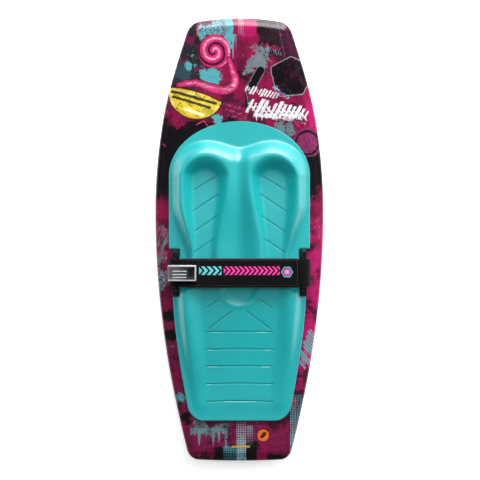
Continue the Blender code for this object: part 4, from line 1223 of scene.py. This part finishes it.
STRAP_WIDTH, PADDING_WIDTH, WEBBING_WIDTH = 0.080, 0.086, 0.039
COVER_THICK, PADDING_THICK, LAP_THICK, WEBBING_THICK = 0.0027, 0.0045, 0.0022, 0.0018
COVER_TOP, COVER_MIDDLE, LAP_MIDDLE, PADDING_MIDDLE = 0.0548, 0.05345, 0.0429, 0.04955
ANCHOR_X, BAR_HEIGHT, BAR_RADIUS = 0.189, 0.0095, 0.003
FOLD_X, GAP = 0.176, 0.0003
SCREW_SPACING = 0.1055

COVER_PATH = [
    (FOLD_X - GAP, COVER_MIDDLE), (0.120, COVER_MIDDLE), (0.060, COVER_MIDDLE), (-0.060, COVER_MIDDLE),
    (-0.120, COVER_MIDDLE), (-0.172, COVER_MIDDLE), (-0.186, 0.0520), (-0.1970, 0.0470), (-0.2035, 0.0400),
    (-0.2048, 0.0345),
]
RIGHT_PATH = [
    (FOLD_X + GAP, COVER_MIDDLE), (0.1880, 0.0515), (0.1990, 0.0450), (0.2065, 0.0340), (0.2070, 0.0230),
    (0.2010, 0.0130),
]
RIGHT_TAIL = [(0.1840, 0.0200), (0.1860, 0.0330), (0.1850, 0.0420)]
LEFT_PATH = [
    (-0.0220, LAP_MIDDLE), (-0.0980, LAP_MIDDLE), (-0.1720, LAP_MIDDLE), (-0.1860, 0.0400), (-0.1960, 0.0330),
    (-0.1995, 0.0240), (-0.1975, 0.0140),
]
LEFT_TAIL = [(-0.1840, 0.0200), (-0.1855, 0.0300), (-0.1820, 0.0360)]
WEBBING_PATH = [
    (-0.1420, 0.0576), (-0.1720, 0.0576), (-0.2030, 0.0576), (-0.2082, 0.0560), (-0.2105, 0.0500),
    (-0.2105, 0.0400), (-0.2070, 0.0290), (-0.2028, 0.0220), (-0.2026, 0.0150),
]


def bar_turn(side, start, thickness):
    """Round an anchor bar, from an angle in degrees to the inboard side."""
    radius = BAR_RADIUS + 0.0005 + thickness / 2
    angles = [math.radians(a) for a in np.linspace(start, -180, 6)]
    return [(side * (ANCHOR_X + radius * math.cos(a)), BAR_HEIGHT + radius * math.sin(a)) for a in angles]


STITCH_PITCH, STITCH_INSET = 0.0042, 0.0032


def make_strap():
    cover = section(STRAP_WIDTH, COVER_THICK, 0.0012)
    lap = section(STRAP_WIDTH, LAP_THICK, 0.0010)
    narrow = section(WEBBING_WIDTH, WEBBING_THICK, 0.0008)
    right = RIGHT_PATH + bar_turn(1, -60, COVER_THICK) + RIGHT_TAIL
    left = LEFT_PATH + bar_turn(-1, -50, LAP_THICK) + LEFT_TAIL
    black, adjuster = webbing_material(), webbing_material("adjuster_webbing", (18, 16, 18), 0.0013)
    for node, path, outline, material, body in (
        ("strap_cover", COVER_PATH, cover, strap_material(), "strap"),
        ("right_anchor_strap", right, cover, black, "board"),
        ("left_anchor_strap", left, lap, black, "board"),
        ("buckle_webbing", WEBBING_PATH, narrow, adjuster, "strap"),
    ):
        finish(band(f"{node}_woven", path, outline), material, body, "webbing", node)

    run = [(x, PADDING_MIDDLE) for x in (-0.170, -0.120, -0.060, 0.0, 0.060, 0.120, 0.172)]
    padding = band("strap_padding_soft", run, section(PADDING_WIDTH, PADDING_THICK, 0.0021, across=20))
    finish(padding, neoprene_material(), "strap", "neoprene", "strap_padding")

    thread = Graph("strap_thread", Roughness=0.7, Sheen_Weight=0.2)
    twist = thread.noise(thread.place, 1500.0, 2.0)
    thread.set("Base Color", thread.mix(twist, srgb(48, 44, 48), srgb(92, 86, 92)))
    z = DECK_Z + COVER_TOP + 0.0001
    inset = STRAP_WIDTH / 2 - STITCH_INSET
    rows = {}
    for name, y in (("stitches_front", STRAP_Y + inset), ("stitches_rear", STRAP_Y - inset)):
        rows[name] = [(x, y, z) for x in np.arange(-0.166, 0.1735, STITCH_PITCH)]
    for name, x in (("bar_tack_left", -0.1185), ("bar_tack_right", 0.1690)):
        rows[name] = [(x, y, z) for y in np.arange(STRAP_Y - 0.034, STRAP_Y + 0.0345, STITCH_PITCH)]
    for name, places in rows.items():
        finish(stitches(f"strap_{name}", places), thread.material, "strap", "webbing")


# The buckle's lever: sizes in from its own corners, and how far a cutting box reaches past them.
LEVER_WALL, LEVER_PLATE, LEVER_RADIUS = 0.0017, 0.0015, 0.0024
LIP_LENGTH, LIP_HEIGHT = 0.014, 0.0612
SUNK_DEPTH, POCKET_DEPTH, BAR_SINK = 0.0006, 0.0011, 0.0001
RAISED_BARS_Y, RAISED_BAR_HALF = (-0.0905, -0.1000, -0.1085), 0.0014
HUB_HALF, HUB_RADIUS, BORE_RADIUS = 0.019, 0.0029, 0.0017
PAST = 0.01


def make_lever():
    """A pressed cover plate: folded sides, a sunk face with three raised bars, and a finger lip."""
    low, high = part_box("buckle_lever")
    pin_low, pin_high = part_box("buckle_pin")
    pin_x, pin_z = (pin_low.x + pin_high.x) / 2, (pin_low.z + pin_high.z) / 2
    below, above = low.z - PAST, high.z + PAST
    lever = finish_box("buckle_lever_plate", low, high, LEVER_RADIUS, 4)
    inner = (low.y + LEVER_WALL, high.y - LEVER_WALL)
    shape(lever, ((low.x - PAST, high.x - LEVER_PLATE), inner, (below, high.z - LEVER_PLATE)), 0.0009)
    across = (low.y - PAST, high.y + PAST)
    shape(lever, ((high.x - LIP_LENGTH, high.x + PAST), across, (below, DECK_Z + LIP_HEIGHT)), 0.0008)
    face = (low.x + 0.0020, high.x - 0.0052), (low.y + 0.0048, high.y - 0.0052)
    shape(lever, (*face, (high.z - SUNK_DEPTH, above)), 0.0005)
    for y in RAISED_BARS_Y:
        bar = (-0.1945, -0.1535), (y - RAISED_BAR_HALF, y + RAISED_BAR_HALF)
        shape(lever, (*bar, (high.z - 0.0012, high.z - BAR_SINK)), 0.0004, "UNION")
    shape(lever, ((-0.1480, -0.1310), (-0.1050, -0.0790), (high.z - POCKET_DEPTH, above)), 0.0004)
    hub = (STRAP_Y - HUB_HALF, STRAP_Y + HUB_HALF)
    shape(lever, ((pin_x - 0.0022, pin_x + 0.0022), hub, (pin_z, high.z - POCKET_DEPTH)), 0.0003, "UNION")
    cut(lever, rod((pin_x, hub[0], pin_z), (pin_x, hub[1], pin_z), HUB_RADIUS), "UNION")
    cut(lever, rod((pin_x, pin_low.y - PAST, pin_z), (pin_x, pin_high.y + PAST, pin_z), BORE_RADIUS))
    finish(lever, lever_material(), "lever", "buckle_steel", "buckle_lever")


def lever_material():
    """Brushed steel, with a painted highlight on the rim and bars, painted shade in the sunk face that
    deepens towards the pocket, and darker painted shade in the pocket.
    """
    g = Graph("lever_steel", Metallic=0.6, Roughness=0.3)
    streak = g.noise(g.vector("MULTIPLY", g.place, (70.0, 2400.0, 2400.0)), 1.0, 3.0)
    x, z = g.part(g.place, "X"), g.part(g.place, "Z")
    # Painted light and shade by height: the raised rim and bars near white as a highlight, the sunk face grey
    # as shade, the pocket near black as deeper shade.
    depth = g.span(z, DECK_Z + 0.06690, DECK_Z + 0.06640)
    pocket = g.span(z, DECK_Z + 0.06620, DECK_Z + 0.06595)
    face = g.mix(g.span(x, -0.196, -0.150), srgb(112, 112, 116), srgb(60, 60, 64))
    colour = g.mix(depth, srgb(244, 244, 246), face)
    colour = g.mix(pocket, colour, srgb(30, 30, 33))
    smudge = g.noise(g.place, 110.0, 3.0)
    colour = g.mix(g.times(g.span(smudge, 0.45, 0.75), 0.35), colour, srgb(84, 84, 90))
    g.set("Base Color", colour)
    g.set("Roughness", g.plus(g.times(streak, 0.22), 0.22))
    g.set("Normal", g.bump(streak, 0.0001, 0.22))
    return g.material


BASE_HEIGHT, BASE_INSET, BOSS_LENGTH = 0.0025, 0.004, 0.025
RIB_X, RIB_HALF, RIB_DEPTH = 0.0062, 0.0011, 0.0016
HOLE_RADIUS, RECESS_RADIUS, RECESS_FLOOR = 0.0031, 0.0056, 0.0057


def make_anchor(name):
    """A moulded bracket: two ribbed bosses on a base, with screw recesses and the bar's seat."""
    low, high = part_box(f"{name}_anchor_bracket")
    x, across, above = (low.x + high.x) / 2, (low.x, high.x), high.z + PAST
    inset = Vector((0, BASE_INSET, 0))
    base_high = Vector((high.x, high.y, low.z + BASE_HEIGHT)) - inset
    bracket = finish_box(f"{name}_bracket_moulding", Vector(low) + inset, base_high, 0.0008)
    for end in (-1, 1):
        outer = high.y if end > 0 else low.y
        y_low, y_high = sorted((outer, outer - end * BOSS_LENGTH))
        shape(bracket, (across, (y_low, y_high), (low.z, high.z)), 0.0030, "UNION", 4)
        for rib in (x - RIB_X, x + RIB_X):
            sides = (rib - RIB_HALF, rib + RIB_HALF), (y_low - 0.002, y_high + 0.002)
            shape(bracket, (*sides, (high.z - RIB_DEPTH, above)), 0.0003, segments=2)
        y = STRAP_Y + end * SCREW_SPACING / 2
        cut(bracket, rod((x, y, low.z - PAST), (x, y, above), HOLE_RADIUS))
        cut(bracket, rod((x, y, DECK_Z + RECESS_FLOOR), (x, y, above), RECESS_RADIUS, 32))
    bar_low, bar_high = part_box(f"{name}_anchor_bar")
    z = DECK_Z + BAR_HEIGHT
    cut(bracket, rod((x, bar_low.y - GAP, z), (x, bar_high.y + GAP, z), BAR_RADIUS + GAP))
    finish(bracket, moulded_material(), "board", "anchor_plastic", f"{name}_anchor_bracket")


# ---- Stage -------------------------------------------------------------------------------------


WORLD_STRENGTH, FLOOR_HALF, FLOOR_DROP, FLOOR_GLOW = 0.11, 40, 0.001, 0.58


def make_stage():
    world = bpy.data.worlds.new("studio")
    world.use_nodes = True
    world.node_tree.nodes["Background"].inputs["Color"].default_value = (1.0, 1.0, 1.0, 1.0)
    world.node_tree.nodes["Background"].inputs["Strength"].default_value = WORLD_STRENGTH
    bpy.context.scene.world = world
    bpy.context.scene.view_settings.view_transform = "Standard"

    floor_mesh = bpy.data.meshes.new("floor")
    corners = [(x * FLOOR_HALF, y * FLOOR_HALF, 0) for x, y in ((-1, -1), (1, -1), (1, 1), (-1, 1))]
    floor_mesh.from_pydata(corners, [], [(0, 1, 2, 3)])
    floor = placed("floor", floor_mesh)
    pale = Graph("floor_paper", Roughness=0.9, Base_Color=(0.94, 0.94, 0.94))
    pale.set("Emission Color", (1.0, 1.0, 1.0))
    pale.set("Emission Strength", FLOOR_GLOW)
    floor_mesh.materials.append(pale.material)
    floor.location.z = -FLOOR_DROP

    for name, place, size, power in (
        ("nose_softbox", (0.7, 2.5, 1.4), (2.6, 1.6), 152.0),
        ("top_fill", (0.0, 0.9, 1.9), (2.0, 2.0), 21.0),
        ("right_softbox", (2.3, 0.2, 1.5), (1.2, 2.4), 34.0),
        ("left_fill", (-2.3, 0.2, 1.3), (1.2, 2.4), 22.0),
    ):
        light = bpy.data.lights.new(name, "AREA")
        light.shape = "RECTANGLE"
        light.size, light.size_y = size
        light.energy = power
        lamp = placed(name, light)
        lamp.location = place
        lamp.rotation_euler = (Vector((0, 0, 0)) - Vector(place)).to_track_quat("-Z", "Y").to_euler()
        lamp.visible_glossy = name == "nose_softbox"


def make_camera():
    """Straight down on the middle of the board, nose at the top of the picture."""
    lens, sensor, picture_width = 100.0, 36.0, 1.418
    data = bpy.data.cameras.new("camera")
    data.lens, data.sensor_width = lens, sensor
    camera = placed("camera", data)
    camera.location = (0.0017, 0.0004, DECK_Z + picture_width * lens / sensor)
    bpy.context.scene.camera = camera


def plain_nodes():
    """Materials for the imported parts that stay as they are."""
    looks = {
        "core_foam": foam_material(), "adhesive_film": film_material(), "insert_brass": brass_material(),
        "anchor_plastic": moulded_material(), "screw_steel": steel_material("screw_steel", (128, 128, 132)),
        "webbing": webbing_material(), "neoprene": neoprene_material(),
        "loop_pile": pile_material("loop_pile", (22, 22, 24), 1500.0),
        "hook_tape": pile_material("hook_tape", (26, 26, 28), 900.0),
        "buckle_steel": steel_material(),
    }
    slots = {part["node"]: part["material_slot"] for part in frame["record"]["subparts"]}
    for name, node in frame["nodes"].items():
        if slots[name] in looks:
            node.data.materials.clear()
            node.data.materials.append(looks[slots[name]])


plain_nodes()
make_board()
make_pad()
make_strap()
make_lever()
for side in ("left", "right"):
    make_anchor(side)
make_stage()
make_camera()
